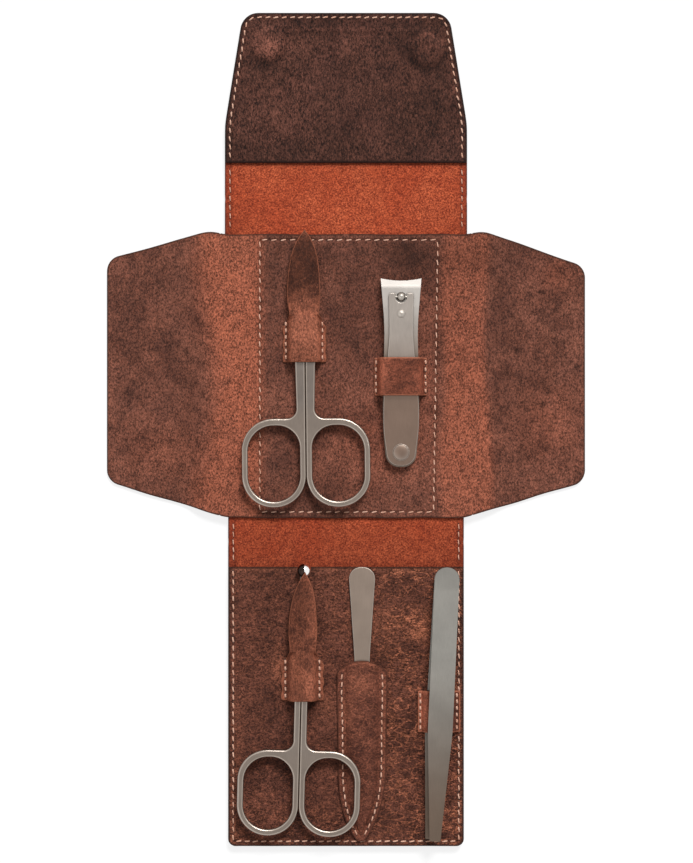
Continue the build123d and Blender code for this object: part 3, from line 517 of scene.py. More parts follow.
def leather(name, dark, middle, warm, worn, edge_tone, cells, patch, net, speckle, depth, net_width=0.03,
            net_strength=0.25, warm_share=0.35, edge_width=0.7, seam=no_seam, seam_strength=0.5, shift=0.0):
    """Waxed leather in four tones and an edge tone, with its own grain, crease net and seam groove.

    Lengths are in mm. A larger number in cells or net makes the grain or the creases finer along
    that axis.
    """
    material, tree, shader = new_material(name)
    place, gap, rubbing_and_highlight = tree.rest_place(), tree.painted("edge_gap"), tree.painted("worn")
    dye = tree.effect(mottle, Place=place, Patch=patch, Softness=0.13, Shift=shift)
    wax = tree.effect(mottle, Place=place, Patch=0.45 * patch, Softness=0.16, Shift=shift + 31.0)
    hide = tree.effect(grain, Place=place, Cells=cells)
    lines = tree.effect(creases, Place=place, Cells=net, Width=net_width, Wander=1.1)["Lines"]
    cracked = tree.times(lines, tree.maths("ADD", tree.painted("cracked"), net_strength), clamp=True)
    rim = tree.effect(rubbed, Place=place, Gap=gap, Width=edge_width)["Mask"]
    pressed = tree.effect(groove, Gap=gap, Line=seam)["Mask"]
    seam_line = tree.effect(groove, Gap=tree.painted("seam_gap"), Line=painted_seam)["Mask"]
    base = tree.mix(dye["Patches"], screen(*dark), screen(*middle))
    base = tree.mix(tree.times(wax["Patches"], warm_share), base, screen(*warm))
    # Worn tone where the piece is rubbed, and as a painted highlight where one is stored.
    rubbed_off_and_highlight = tree.times(rubbing_and_highlight, tree.times(wax["Clouds"], 1.1, 0.35), clamp=True)
    base = tree.mix(rubbed_off_and_highlight, base, screen(*worn))
    base = tree.mix(cracked, base, screen(*worn))
    speck_share = tree.times(rubbing_and_highlight, 0.12 * speckle, speckle)
    fine = tree.times(tree.less(hide["Speckle"], 0.5), speck_share, 1.0)
    fine = tree.times(fine, tree.times(hide["Pores"], -0.24, 1.04))
    fine = tree.times(fine, tree.less(1.0, tree.painted("shade")))
    groove_shade = tree.times(tree.most(pressed, seam_line), -0.45 * seam_strength, 1.0)
    base = tree.darken(base, tree.times(fine, groove_shade))
    base = tree.mix(tree.times(rim, 0.85), base, screen(*edge_tone))
    rough = tree.times(rubbed_off_and_highlight, -0.06, tree.times(hide["Speckle"], 0.16, 0.54))
    height = tree.times(hide["Height"], 0.5, tree.times(cracked, -0.8))
    for mask in (pressed, seam_line):
        height = tree.times(mask, -2.2 * seam_strength, height)
    tree.fill(shader, {"Base Color": base, "Roughness": rough, "Specular IOR Level": leather_shine,
                       "Normal": tree.bump(height, 0.9, depth)})
    return material


# %% [markdown]
# Each part of the case is a different cut of hide. The flap is dark with lines of fibre, the
# wings are soft and even with orange wear along the folds, and the tool panel is crackled. The
# five tones of each are dark, middle, warm, worn and edge; the worn tone also gives the painted
# highlights.

# %% Brown leathers
flap_leather = leather(
    "flap_leather", (55, 33, 27), (78, 48, 40), (104, 66, 53), (128, 80, 66), (36, 22, 19),
    cells=(1.35, 0.68, 1.0), patch=17.0, net=(0.9, 0.22, 0.5), speckle=1.75, depth=0.42, warm_share=0.3,
    edge_width=0.9)
sheet_leather = leather(
    "sheet_leather", (86, 52, 42), (118, 73, 59), (136, 84, 66), (162, 91, 67), (66, 40, 31),
    cells=(1.3, 0.9, 1.2), patch=13.0, net=(0.5, 0.35, 0.5), speckle=1.35, depth=0.34, net_width=0.025,
    net_strength=0.16, edge_width=0.5)
panel_leather = leather(
    "panel_leather", (72, 41, 32), (98, 58, 46), (120, 71, 55), (178, 108, 80), (56, 34, 27),
    cells=(1.1, 1.15, 1.2), patch=14.0, net=(0.22, 0.52, 0.4), speckle=1.45, depth=0.55, net_width=0.034,
    net_strength=0.2, shift=7.0)
tongue_leather = leather(
    "tongue_leather", (76, 42, 31), (112, 64, 47), (140, 80, 57), (186, 112, 86), (150, 90, 66),
    cells=(1.35, 0.85, 1.2), patch=9.0, net=(0.7, 0.3, 0.5), speckle=1.0, depth=0.3, warm_share=0.4,
    edge_width=0.24, shift=13.0)
loop_leather = leather(
    "loop_leather", (84, 46, 34), (120, 66, 49), (142, 78, 57), (192, 112, 86), (176, 108, 82),
    cells=(1.3, 1.1, 1.2), patch=6.0, net=(0.6, 0.6, 0.5), speckle=0.95, depth=0.2, warm_share=0.45,
    edge_width=0.35, shift=19.0)
sheath_leather = leather(
    "sheath_leather", (74, 41, 32), (102, 59, 46), (126, 74, 58), (176, 106, 80), (82, 48, 37),
    cells=(1.15, 1.2, 1.2), patch=10.0, net=(0.34, 0.56, 0.5), speckle=1.0, depth=0.4, net_width=0.034,
    net_strength=0.4, warm_share=0.4, edge_width=0.4, seam=1.65, seam_strength=0.15, shift=23.0)
outer_brown = leather(
    "outer_brown", (62, 38, 31), (88, 56, 45), (110, 70, 55), (130, 78, 60), (36, 23, 19),
    cells=(1.3, 1.3, 1.3), patch=18.0, net=(0.3, 0.4, 0.4), speckle=0.9, depth=0.2, net_strength=0.3,
    warm_share=0.3, edge_width=0.9, seam=seam_inset, shift=29.0)
print("brown leathers", [made.name for made in bpy.data.materials if "leather" in made.name])

# %% [markdown]
# The hinges show the orange lining: a thin, evenly dyed leather with a fine pebble grain whose
# pores stay dark. It is rubbed paler in the middle and darker outside the seam.

# %% Orange lining
bright, deep, pore, border_tone, rim_tone = [
    screen(*tone) for tone in ((226, 112, 71), (208, 92, 55), (122, 44, 25), (148, 58, 36), (92, 40, 26))]
orange_leather, tree, shader = new_material("orange_leather")
place, gap = tree.rest_place(), tree.painted("edge_gap")
dye = tree.effect(mottle, Place=place, Patch=15.0, Softness=0.2, Shift=3.0)
hide = tree.effect(grain, Place=place, Cells=(1.25, 1.25, 1.25))
border = tree.effect(rubbed, Place=place, Gap=gap, Width=3.2, Ragged=0.6)["Mask"]
rim = tree.effect(rubbed, Place=place, Gap=gap, Width=0.4, Ragged=0.1)["Mask"]
pressed = tree.effect(groove, Gap=gap, Line=seam_inset)["Mask"]
base = tree.mix(dye["Patches"], deep, bright)
base = tree.mix(tree.times(border, 0.6), base, border_tone)
dots = tree.most(tree.times(tree.less(1.0, hide["Speckle"]), 1.15), tree.times(hide["Pores"], 0.7))
base = tree.mix(dots, base, pore)
shade = tree.times(tree.less(1.0, tree.painted("shade")), tree.times(pressed, -0.25, 1.0))
base = tree.mix(tree.times(rim, 0.5), tree.darken(base, shade), rim_tone)
tree.fill(shader, {"Base Color": base, "Roughness": tree.times(hide["Speckle"], 0.12, 0.5),
                   "Normal": tree.bump(tree.times(pressed, -1.0, hide["Height"]), 0.8, 0.16),
                   "Specular IOR Level": leather_shine})
print("lining", orange_leather.name)

# %% [markdown]
# ## The long strip: outer leather and lining
#
# The real strip is one length of leather that bends four times. A blended sheet can bend only
# between two bodies, so the strip is made in four lengths that meet in the middle of each orange
# hinge and in the middle of the case, where nothing bends. The rows of each length lie close
# together near its own fold.

# %% Strip outline
def strip_half_width(y):
    """Half the strip's width: the flap's taper and corners, the wide hinge, the lower corners."""
    taper = edge_curve(case_end - y, flap_end_half, (upper_half - flap_end_half) / flap_side_length, 5.5)
    upper = soft_least(taper, upper_half + 0 * y, 0.25)
    body = lower_half + (upper_half - lower_half) * ease(y, 62.5, 65.5)
    lower = np.where(y < -100, edge_curve(y + case_end, lower_half, 0.0, 2.0), body)
    return np.minimum(np.minimum(upper, body), lower)


def corner_rows(reach, count):
    """Places from 0 to about the reach, closest together at 0: reach * (1 - cos t)."""
    return reach * (1 - np.cos(np.linspace(0.02, np.pi / 2, count)))


def strip_rows(low, high, folds):
    """Places along the strip, close together at folds and at the rounded corners of its ends."""
    rows = [spread(low, high, 1.5, folds)]
    if high > case_end - 6:
        rows.append(case_end - corner_rows(6.2, 16))
    if low < 3 - case_end:
        rows.append(corner_rows(2.4, 10) - case_end)
    places = np.unique(np.round(np.concatenate(rows), 3))
    rounding = 0.001
    places = places[(places > low - rounding) & (places < high + rounding)]
    return places[np.concatenate([[True], np.diff(places) > 0.04])]


def strip_top(low, high, level, inset, folds=()):
    """Grid over one length of the strip: each row runs from edge to edge, inset for the rim."""
    y = strip_rows(max(low, inset - case_end), min(high, case_end - inset), folds)[:, None]
    half = strip_half_width(np.clip(y * (case_end / (case_end - inset)), -case_end, case_end)) - inset
    columns = 56
    return grid(half * np.linspace(-1, 1, columns)[None], y, level)


# %% Outer leather and lining in four lengths
bend_reach = 3.0
everywhere = np.inf
upper_middle = (upper_fold + flap_fold) / 2
lower_middle = (lower_fold + panel_fold) / 2
centre_cut = (upper_fold + lower_fold) / 2
lengths = [
    ("flap", upper_middle, case_end, flap_fold, "upper_spine", "flap"),
    ("upper", centre_cut, upper_middle, upper_fold, "case_middle", "upper_spine"),
    ("lower", lower_middle, centre_cut, lower_fold, "case_middle", "lower_spine"),
    ("panel", -case_end, lower_middle, panel_fold, "lower_spine", "tool_panel"),
]
layers = [
    ("outer_leather", "outer", outer_leather, outer_leather, 0.3, 0.3, outer_brown, "brown_leather"),
    ("lining", "lining", lining_top, lining_leather, 0.4, 0.25, orange_leather, "orange_lining"),
]
# The first spot is a painted shadow under the flap facing's edge.
corner_shade = spots((0.35, 0, flap_fold + 0.6, everywhere, 1.5), (0.16, -38, 67, 9, 8),
                     (0.14, 36, 68, 10, 6), (0.10, 0, -46, 60, 4))


def lining_shade(x, y):
    """Painted shadow on the lining under the facing's edge, and darker lining at the corners and in the lower
    hinge.
    """
    return 0.26 * ease(-y, 20, 40) + corner_shade(x, y)


for name, low, high, fold, near, far in lengths:
    reach = bend_reach if fold > 0 else -bend_reach
    cuts = [side for side, is_cut in (("low", low > -case_end), ("high", high < case_end)) if is_cut]
    parts = [body.removeprefix("case_") for body in (far, near)]
    for layer, node_end, level, thickness, inset, rim, material, slot_name in layers:
        top = strip_top(low, high, level, inset, (fold,))
        piece = leather_sheet(f"{layer}_{name}", top, thickness, rim, cuts)
        if layer == "lining":
            paint(piece, shade=lining_shade)
        finish_piece(piece, material, replaces=[f"{part}_{node_end}" for part in parts])
        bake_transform(piece)
    print(name, "length of strip", round(high - low, 1), "mm,", len(piece.data.polygons), "faces")


# %% [markdown]
# ## Where the seams run
#
# One seam runs round the flap and one round the tool panel, 1.8 mm inside the edge. The leather
# is drawn down along them, so the lines are worked out before the facings are made.

# %% Seam lines of the flap and the tool panel
def flap_seam():
    """Line round the flap: up its left side, across its end and down its right side."""
    y = np.linspace(flap_fold + 1.2, case_end, 300)
    side = np.stack([strip_half_width(y), y], -1)
    side = side[strip_half_width(y) > 29]
    outline = np.concatenate([side * (-1, 1), side[::-1]])
    way = unit(np.gradient(outline, axis=0))
    line = outline + seam_inset * np.stack([way[:, 1], -way[:, 0]], -1)
    return line[line[:, 1] <= case_end - 1.75]


def panel_seam():
    """Line round the tool panel: down its left side, along its end and up its right side."""
    edge = lower_half - seam_inset
    foot = 1.9 - case_end
    turn = np.linspace(0, np.pi / 2, 8)
    left = np.stack([np.full(40, -edge), np.linspace(panel_fold - 1.2, foot + 1.2, 40)], -1)
    corner = np.stack([-edge + 1.0 - np.cos(turn), foot + 1.0 - np.sin(turn)], -1)
    half_line = np.concatenate([left, corner])
    return np.concatenate([half_line, (half_line * (-1, 1))[::-1]])


def seam_gap_to(line):
    """Function of x and y: the distance to a seam, with the line itself at the painted value."""
    return lambda x, y: (painted_seam + distance_to(np.stack([x, y], -1), line)) * MM


print("seam points", len(flap_seam()), len(panel_seam()))

# %% [markdown]
# ## The flap's facing
#
# The facing is a second layer of dark leather, pressed over two round magnets. Each magnet shows
# as a low dome with a rubbed crown, a painted highlight round its upper rim and painted shade round
# its lower foot and below it. A faint ridge runs across the flap at their upper edge, with a
# painted highlight along it and painted shade just below it. The dome is a smooth step in height of
# the distance from its centre.

# %% Flap facing
facing_gap = 0.35
facing_inset = 0.5
magnet_places = [(-26.0, flap_fold + 39.3), (27.0, flap_fold + 37.6)]
(left_x, left_y), (right_x, right_y) = magnet_places


def flap_relief(x, y):
    """Height added to the flap's facing: two magnet domes, a faint ridge and a slow unevenness."""
    height = 0.05 * np.sin(0.11 * x + 0.7) * np.sin(0.13 * y)
    for centre_x, centre_y in magnet_places:
        away = np.hypot(x - centre_x, y - centre_y)
        height = height + 0.66 * (1 - ease(away, 3.9, 6.3))
        height = height + 0.2 * bell(x, y, centre_x, centre_y + 5.8, 8.0, 0.7)
    return height + 0.12 * bell(x, y, 0, 133.0, 30, 0.8)


def magnet_rings(x, y, radius, width, base, tilt):
    """Rings round the magnets, for the painted highlight and shade: a bell of the distance from a circle,
    times base + tilt * sin.
    """
    total = 0
    for centre_x, centre_y in magnet_places:
        away = np.hypot(x - centre_x, y - centre_y)
        ring = np.exp(-((away - radius) / width) ** 2)
        total = total + ring * (base + tilt * (y - centre_y) / (away + 0.1)).clip(0)
    return total


def flap_worn(x, y):
    """Rubbed crowns of the magnet domes, the left one more than the right, and rubbed sides, with a painted
    highlight along the ridge and round the domes' upper rims.
    """
    soft = spots((0.95, left_x - 0.4, left_y - 0.6, 4.3, 4.0), (0.3, right_x + 1, right_y + 1, 4.6, 3.6),
                 (0.28, 0, 133.3, 27, 0.5), (0.35, -39, 128, 4, 9), (0.2, -8, 128, 16, 4),
                 (0.15, -22, 110, 10, 14))
    return soft(x, y) + 0.5 * magnet_rings(x, y, 5.4, 0.7, 0.3, 0.7)


def flap_shade(x, y):
    """Painted shade below the domes, round their lower feet and under the ridge, and darker leather round the
    border and above the hinge.
    """
    soft = spots((0.34, left_x, left_y - 7.2, 5.5, 2.2), (0.3, right_x - 6, right_y - 1, 5, 6),
                 (0.25, 0, 132.3, 28, 0.6), (0.22, 0, 137.0, 34, 2.6), (0.16, 0, 93, 44, 6),
                 (0.14, 20, 108, 14, 10))
    return soft(x, y) + 0.42 * magnet_rings(x, y, 6.1, 0.9, 0.5, -0.5)


outline = strip_top(flap_fold + facing_gap, case_end, surface, facing_inset)
y_rows = spread(flap_fold + facing_gap, case_end - 6.5, 0.8)
rows = np.concatenate([y_rows, outline[outline[:, 0, 1] > y_rows[-1] + 0.1, 0, 1]])
x = np.interp(rows, outline[:, 0, 1], outline[:, -1, 0])[:, None] * np.linspace(-1, 1, 100)[None]
y = rows[:, None] + 0 * x
top = grid(x, y, surface + flap_relief(x, y))
flap_facing = leather_sheet("flap_facing_leather", top, facing_leather)
# The flap's worn layer also holds its painted highlights, and its shade layer its painted shade.
paint(flap_facing, worn=flap_worn, shade=flap_shade, seam_gap=seam_gap_to(flap_seam()))
finish_piece(flap_facing, flap_leather, "flap", ["flap_facing"])
print("flap facing", x.shape, "points")

# %% [markdown]
# ## The tool panel's facing
#
# The facing of the tool panel is crackled, most of all on the right. It has painted shadow under
# the tools and is darker near its lower end. It rides on the panel as one rigid, slightly uneven
# sheet.

# %% Tool panel facing
panel_settle = 0.08
# Painted shadow under the tools, such as beside the ball scissors, and darker leather near the lower end.
panel_shade = spots((0.3, -24, -91, 5, 6), (0.16, -30, -108, 9, 12), (0.12, 24, -112, 10, 20),
                    (0.16, 0, -138, 50, 4), (0.14, 16, -75, 12, 8))
panel_worn = spots((0.95, 24.3, -67.8, 3.0, 2.0), (0.6, 27, -62, 2.2, 3.0), (0.25, 12, -65, 8, 8),
                   (0.35, -22.5, -79, 2.6, 6), (0.3, -6.5, -92, 2.5, 4), (0.2, 31, -92, 5, 16),
                   (0.35, 0, -46.2, 60, 0.9), (0.2, -37, -120, 3, 20))


def panel_cracked(x, y):
    """Share of cracked leather: strong between the file and the tweezers, weak on the left."""
    right = ease(x, 7, 17) * (0.5 + 0.3 * bell(x, y, 22, -70, 10, 30))
    return right + 0.22 * bell(x, y, 0, -60, 10, 16) + 0.2 * ease(-y, 118, 136)


panel_end = panel_fold - 0.55
rows = strip_rows(facing_inset - case_end, panel_end, ())
rows = np.concatenate([rows[rows < 4 - case_end], spread(4.2 - case_end, panel_end, 1.0)])
rows = np.unique(np.round(rows, 3))
half = strip_half_width(rows * case_end / (case_end - facing_inset))[:, None] - facing_inset
x = half * np.linspace(-1, 1, 90)[None]
y = rows[:, None] + 0 * x
z = surface + 0.06 * np.sin(0.19 * x + 1.0) * np.sin(0.12 * y + 0.4) + 0.04 * np.sin(0.43 * x - 0.31 * y)
panel_facing = leather_sheet("panel_facing_leather", grid(x, y, z - panel_settle), facing_leather)
paint(panel_facing, worn=panel_worn, shade=panel_shade, cracked=panel_cracked,
      seam_gap=seam_gap_to(panel_seam()))
finish_piece(panel_facing, panel_leather, "tool_panel", ["tool_panel_facing"])
print("tool panel facing", z.shape, "points")


# %% [markdown]
# ## The inner sheet and its wings
#
# One soft sheet crosses the middle. A rectangle of stitches holds it to the strip, and beyond the
# stitches it runs out into two wings that fold in over the tools. Each wing leaves the strip in a
# shallow S and comes to lie flat on the table. Two arcs make the S: the first falls away from the
# strip, and the second turns level again.
#
# The sheet bends at four folds, so it is made in four parts that meet in the middle of the case
# and in the middle of each narrow fold band.

# %% Inner sheet shape
wing_fall = 11.5
wing_turn = 2 * np.arctan(lining_top / wing_fall)
wing_bend = wing_fall / (2 * np.sin(wing_turn))


def sheet_level(x):
    """Height of the sheet's top by distance from the middle: level, two arcs of the S, level."""
    half_fall = wing_fall / 2
    run = np.clip(np.abs(x) - wing_fold - 0.2, 0, wing_fall)
    first, second = [wing_bend - np.sqrt(wing_bend ** 2 - np.minimum(part, half_fall) ** 2)
                     for part in (run, wing_fall - run)]
    return np.where(run < half_fall, surface - first, facing_leather + second)


def sheet_high(x, top_drop):
    """Upper edge: level over the strip, a slight rise past the fold, then the wing's slope."""
    out = np.abs(x)
    rise = upper_fold + 0.9 * ease(out, band_fold - 1.0, band_fold + 6.0)
    slope = (0.9 + top_drop) / (wing_edge - band_fold - 7.4)
    return soft_least(rise, edge_curve(wing_edge - out, upper_fold - top_drop, slope, 5.0), 0.5)


def sheet_low(x):
    """Lower edge: level over the strip, then sloping up to the wing's lower corner."""
    out, rise = np.abs(x), 12.0
    fall = edge_curve(wing_edge - out, -(lower_fold + rise), rise / (wing_edge - band_fold), 5.0)
    return -soft_least(fall, -lower_fold + 0 * out, 0.5)


def sheet_part(name, start, end, folds, top_drop, cuts):
    """Part of the sheet between two X places; rows run from the lower to the upper edge."""
    places = spread(start, end, 1.1, folds, 0.4, 2.6)
    reach, inset, rows = 5.6, 0.3, 108
    outer = corner_rows(reach, 12)
    if end > wing_edge - 1:
        places = np.concatenate([places[places < end - reach], end - outer[::-1], [end]])
    if start < 1 - wing_edge:
        places = np.concatenate([[start], start + outer, places[places > start + reach]])
    x = np.unique(np.round(places, 3))[None]
    stretch = wing_edge / (wing_edge - inset)
    low = sheet_low(x * stretch) + inset + 0.12 * np.sin(0.31 * x)
    high = sheet_high(x * stretch, top_drop) - inset + 0.10 * np.sin(0.23 * x + 1.0)
    y = low + np.linspace(0, 1, rows)[:, None] * (high - low)
    x = x + 0 * y
    out = np.abs(x)
    waves = 0.07 * np.sin(0.17 * y + 0.9) * np.sin(0.15 * x) * ease(out, 46, 60)
    z = sheet_level(x) + waves + 0.10 * ease(out, 55, 62)
    return leather_sheet(name, grid(x, y, z), facing_leather, cuts=cuts)


# %% [markdown]
# The folds are rubbed to a warm orange in a band that wanders in and out. The left band is wide
# and runs past the stitches, and the right one is narrower. A few old scars mark the right wing.

# %% Inner sheet wear and its four parts
wing_clouds = spots((0.3, 10, -6, 16, 14), (0.22, 27, 18, 5, 30), (0.35, 70, 52, 6, 6), (0.3, 68, 2, 12, 12),
                    (0.25, -60, -8, 12, 10))
scars = [(65.0, 46.0, 1.6, 0.7), (62.5, 44.5, 0.7, 0.6), (57.0, 26.5, 1.0, 0.8), (68.0, 12.5, 0.9, 0.6),
         (59.3, 9.0, 0.7, 0.6), (65.6, 8.7, 0.9, 0.7), (67.0, -6.5, 0.8, 0.6), (58.5, -10.2, 0.7, 0.6),
         (65.2, -10.5, 0.9, 0.6)]
dark_clouds = spots(
    (0.20, -62, 48, 13, 8), (0.24, -57, 22, 7, 12), (0.16, -53, -4, 7, 14), (0.16, -60, -18, 12, 8),
    (0.22, 4, 58, 19, 7), (0.6, 22, 57, 9, 8.5), (0.3, -24, 52, 5, 11), (0.2, 2, 40, 9, 14),
    (0.16, 29, 30, 3, 20), (0.3, 42, 58, 9, 8), (0.14, 54, 54, 9, 8), (0.12, 58, 8, 10, 14),
    (0.2, -10, -24, 14, 5), *((0.8, *scar) for scar in scars))


def sheet_worn(x, y):
    """Wear along the folds: a smooth band on each side whose borders wander with Y."""
    left_outer = -46.5 + 2.5 * np.sin(0.07 * y + 0.6) - 3.0 * ease(-y, 0, 30)
    left = ease(x, left_outer - 5.5, left_outer + 5.5) * (1 - ease(x, -31, -25.5))
    right_inner = 31.5 + 1.0 * np.sin(0.1 * y)
    right_outer = 46.3 + 1.0 * np.sin(0.09 * y + 2.0) + 2.0 * ease(-y, -5, 25)
    right_start = ease(x, right_inner - 1.5, right_inner + 3.0)
    right = right_start * (1 - ease(x, right_outer - 1.5, right_outer + 2.5))
    left_strength = 0.85 + 0.15 * np.sin(0.05 * y)
    right_strength = 0.62 + 0.2 * bell(x, y, 0, 4, everywhere, 20)
    return left * left_strength + right * right_strength + wing_clouds(x, y)


def sheet_shade(x, y):
    """Darker clouds on the wings and under the upper edge, and the scars of the right wing."""
    return np.clip(dark_clouds(x, y), 0, 0.8)


def rectangle_gap(x, y):
    """Distance inside the stitched rectangle, with the line itself at the painted value."""
    across = np.minimum(x - stitched_left, 30.5 - 0.012 * (63 - y) - x)
    return (painted_seam + np.minimum(across, np.minimum(y - stitched_low, stitched_high - y))) * MM


band_middle = (band_fold + wing_fold) / 2
sides = {"left": (-1, 8.2), "right": (1, 10.6)}
for part_name, from_x, to_x, fold in (("inner_sheet", 0.0, band_middle, band_fold),
                                      ("wing_leather", band_middle, wing_edge - 0.3, wing_fold)):
    for word, (side, top_drop) in sides.items():
        start, end = sorted((side * from_x, side * to_x))
        if part_name == "inner_sheet":
            near, far, node, cuts = "case_middle", f"{word}_band", "inner_sheet_middle", ("left", "right")
        else:
            inner_side = "right" if side < 0 else "left"
            near, far, node, cuts = f"{word}_band", f"{word}_wing", f"{word}_wing", (inner_side,)
        part = sheet_part(f"{part_name}_{word}", start, end, (side * fold,), top_drop, cuts)
        paint(part, worn=sheet_worn, shade=sheet_shade, seam_gap=rectangle_gap)
        finish_piece(part, sheet_leather, replaces=[node, f"{word}_fold_band"])
        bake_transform(part)
        print(part.name, len(part.data.polygons), "faces")


# %% [markdown]
# ## Tongues and loops
#
# A tongue is cut from one piece of leather. Its two tabs are stitched down, the middle stands up
# in an arch over the tool, and the end runs on into a pointed leaf that lies over the blades.
# Wet-moulded leather has no sharp corners, so the arch is a flat crown with a quarter of an
# ellipse on each side, which then turns out into the tab.
#
# The grid's columns run from tab to tab. Above the tabs the section changes from the arch to a
# gently drooping leaf, whose width follows 1 - exp(-t / reach) of the distance t from its tip.

# %% Moulded arch
holder_rim = 0.25


def arch_section(share, crown, side, height, tab):
    """(x, z) across an arch, by share from -1 to 1 of its length: crown, quarter ellipse, tab.

    The bends where the ellipse meets the tab are rounded by averaging along the line.
    """
    turn = np.linspace(0, np.pi / 2, 60)
    level, samples, reach = 30, 240, 6
    x = np.concatenate([np.linspace(0, crown, level)[:-1], crown + side * np.sin(turn),
                        np.linspace(crown + side, tab, level)[1:]])
    z = np.concatenate([np.zeros(level - 1), -height * (1 - np.cos(turn)), np.full(level - 1, -height)])
    length = np.concatenate([[0], np.cumsum(np.hypot(np.diff(x), np.diff(z)))])
    even = np.linspace(0, length[-1], samples)
    x, z = np.interp(even, length, x), np.interp(even, length, z)
    window = np.ones(2 * reach + 1) / (2 * reach + 1)
    x[reach:-reach], z[reach:-reach] = np.convolve(x, window, "valid"), np.convolve(z, window, "valid")
    x[:reach], z[:reach] = x[reach] * np.arange(reach) / reach, z[reach]
    at = np.abs(share) * length[-1]
    return np.sign(share) * np.interp(at, even, x), np.interp(at, even, z)


def section_shares(columns=61):
    """Shares from -1 to 1 across a section, closer together near the two sides."""
    t = np.linspace(-1, 1, columns)
    return t + 0.10 * np.sin(2 * np.pi * t) / np.pi


def scale_edge(top):
    """Pull the border of a grid inwards a little, to leave room for the rounded rim."""
    middle_x = (top[:, :1, 0] + top[:, -1:, 0]) / 2
    half = np.abs(top[:, -1:, 0] - top[:, :1, 0]) / 2
    share = np.maximum(half - holder_rim, 0.25 * half + 0.02) / (half + 1e-6)
    return grid(middle_x + (top[..., 0] - middle_x) * share, top[..., 1], top[..., 2])


def tongue_top(centre_x, mouth, tabs, tip, arch, leaf, ridge):
    """Grid of a tongue: arch over its tabs, then a leaf of given width, droop and ridge height."""
    crown, side, height, tab = arch
    width, reach, droop = leaf
    y = np.concatenate([spread(mouth, tabs - 2.2, 0.45), spread(tabs - 2.0, tabs + 2.8, 0.24),
                        spread(tabs + 3.2, tip - 4, 0.8), tip - 3.8 * np.linspace(1, 0.0, 12) ** 1.5])
    y = y[:, None]
    share = section_shares()[None]
    arch_x, arch_z = arch_section(share, *arch)
    beyond = np.clip(np.abs(arch_x) - crown - side, 0, None)
    ear = (1 - ease(y, tabs - 2.0, tabs + 0.2)) * (0.9 + 0.12 * np.sin(2 * np.pi * (y - mouth) / 4.7))
    arch_x = arch_x - np.sign(share) * beyond * (1 - ear)
    half = width * (1 - np.exp(-(tip - y + 0.15) / reach)) * (1 - 0.15 * (1 - ease(y, tabs, tabs + 10)))
    leaf_z = np.interp(y, *ridge) - droop * share ** 2 * (half / width) ** 2
    change = ease(y, tabs - 0.4, tabs + 2.6)
    x = centre_x(y) + (1 - change) * arch_x + change * half * share
    z = (1 - change) * (height + holder_leather + arch_z) + change * leaf_z
    return scale_edge(grid(x, y, surface + z))


def loop_top(centre_x, low, high, arch):
    """Grid of a loop: one arch section carried along Y."""
    y = spread(low, high, 0.8)[:, None]
    x, z = arch_section(section_shares()[None], *arch)
    return scale_edge(grid(centre_x + x, y, surface + arch[2] + holder_leather + z))


def holder(name, top, thickness, material, body, node, worn, shade):
    """Holder from its grid: a painted sheet that stands for one node and rides on a body."""
    piece = leather_sheet(name, top, thickness, holder_rim)
    paint(piece, worn=worn, shade=shade)
    finish_piece(piece, material, body, [node])
    print(name, len(piece.data.polygons), "faces")


# %% Tongues of the two scissors
nail_ridge = ([22.5, 36.5, 59.0, 62.5, 66.2], [4.7, 4.72, 3.32, 2.6, 1.0])
ball_ridge = ([-90.1, -76.1, -60.0, -52.0, -47.6], [6.1, 6.12, 6.1, 6.05, 5.95])


def nail_middle(y):
    """Middle line of the nail scissors' tongue, with a slight bend above its tabs."""
    return -13.8 - 0.3 * ease(y, 36, 44) + 0.3 * ease(y, 46, 66)


def ball_middle(y):
    """Middle line of the ball-tipped scissors' tongue, which drifts to the right."""
    return -14.5 + 0.2 * ease(y, -80, -70) + 0.65 * ease(y, -64, -48)


def nail_shade(x, y):
    """Dark leaf over the blades, lighter again at its tip."""
    return 0.54 * ease(y, 41, 50) * (1 - 0.5 * ease(y, 60, 66)) + 0.1 * bell(x, y, -14, 26, 5, 3)


nail_top = tongue_top(nail_middle, 22.6, 35.9, 66.4, (4.05, 1.9, 4.05, 7.3), (5.85, 6.2, 1.0), nail_ridge)
ball_top = tongue_top(ball_middle, -90.0, -76.1, -47.6, (2.85, 2.45, 5.2, 7.2), (5.2, 6.5, 1.3), ball_ridge)
holder("nail_tongue_leather", nail_top, 0.7, tongue_leather, "case_middle", "nail_scissors_tongue",
       worn=spots((0.66, -14, 33, 5.5, 8.0), (0.5, -8, 28, 3, 8), (0.35, -20, 28, 2.5, 9)), shade=nail_shade)
holder("ball_tongue_leather", ball_top, 0.85, tongue_leather, "tool_panel", "ball_scissors_tongue",
       worn=spots((0.55, -10.5, -84, 4.0, 8), (0.4, -20, -84, 2.5, 8), (0.3, -10, -58, 2.5, 12)),
       shade=spots((0.16, -14.5, -62, 3.5, 12)))

# %% [markdown]
# The clipper and the tweezers are held by plain loops: the same arch, cut off straight.

# %% Loops
clipper_top = loop_top(18.2, 11.5, 23.7, (5.3, 2.6, 5.6, 8.75))
tweezers_top = loop_top(31.0, -100.6, -87.2, (3.6, 2.2, 1.75, 7.1))
holder("clipper_loop_leather", clipper_top, 0.85, loop_leather, "case_middle", "clipper_loop",
       worn=spots((0.8, 11.5, 17.5, 1.6, 9), (0.3, 24.5, 14, 1.5, 5)),
       shade=spots((0.3, 17.8, 18.5, 2.0, 6), (0.12, 22, 16, 2, 6)))
holder("tweezers_loop_leather", tweezers_top, 0.8, loop_leather, "tool_panel", "tweezers_loop",
       worn=spots((0.7, 26.0, -94, 2.6, 9)), shade=lambda x, y: 0.4 * ease(x, 31, 35))


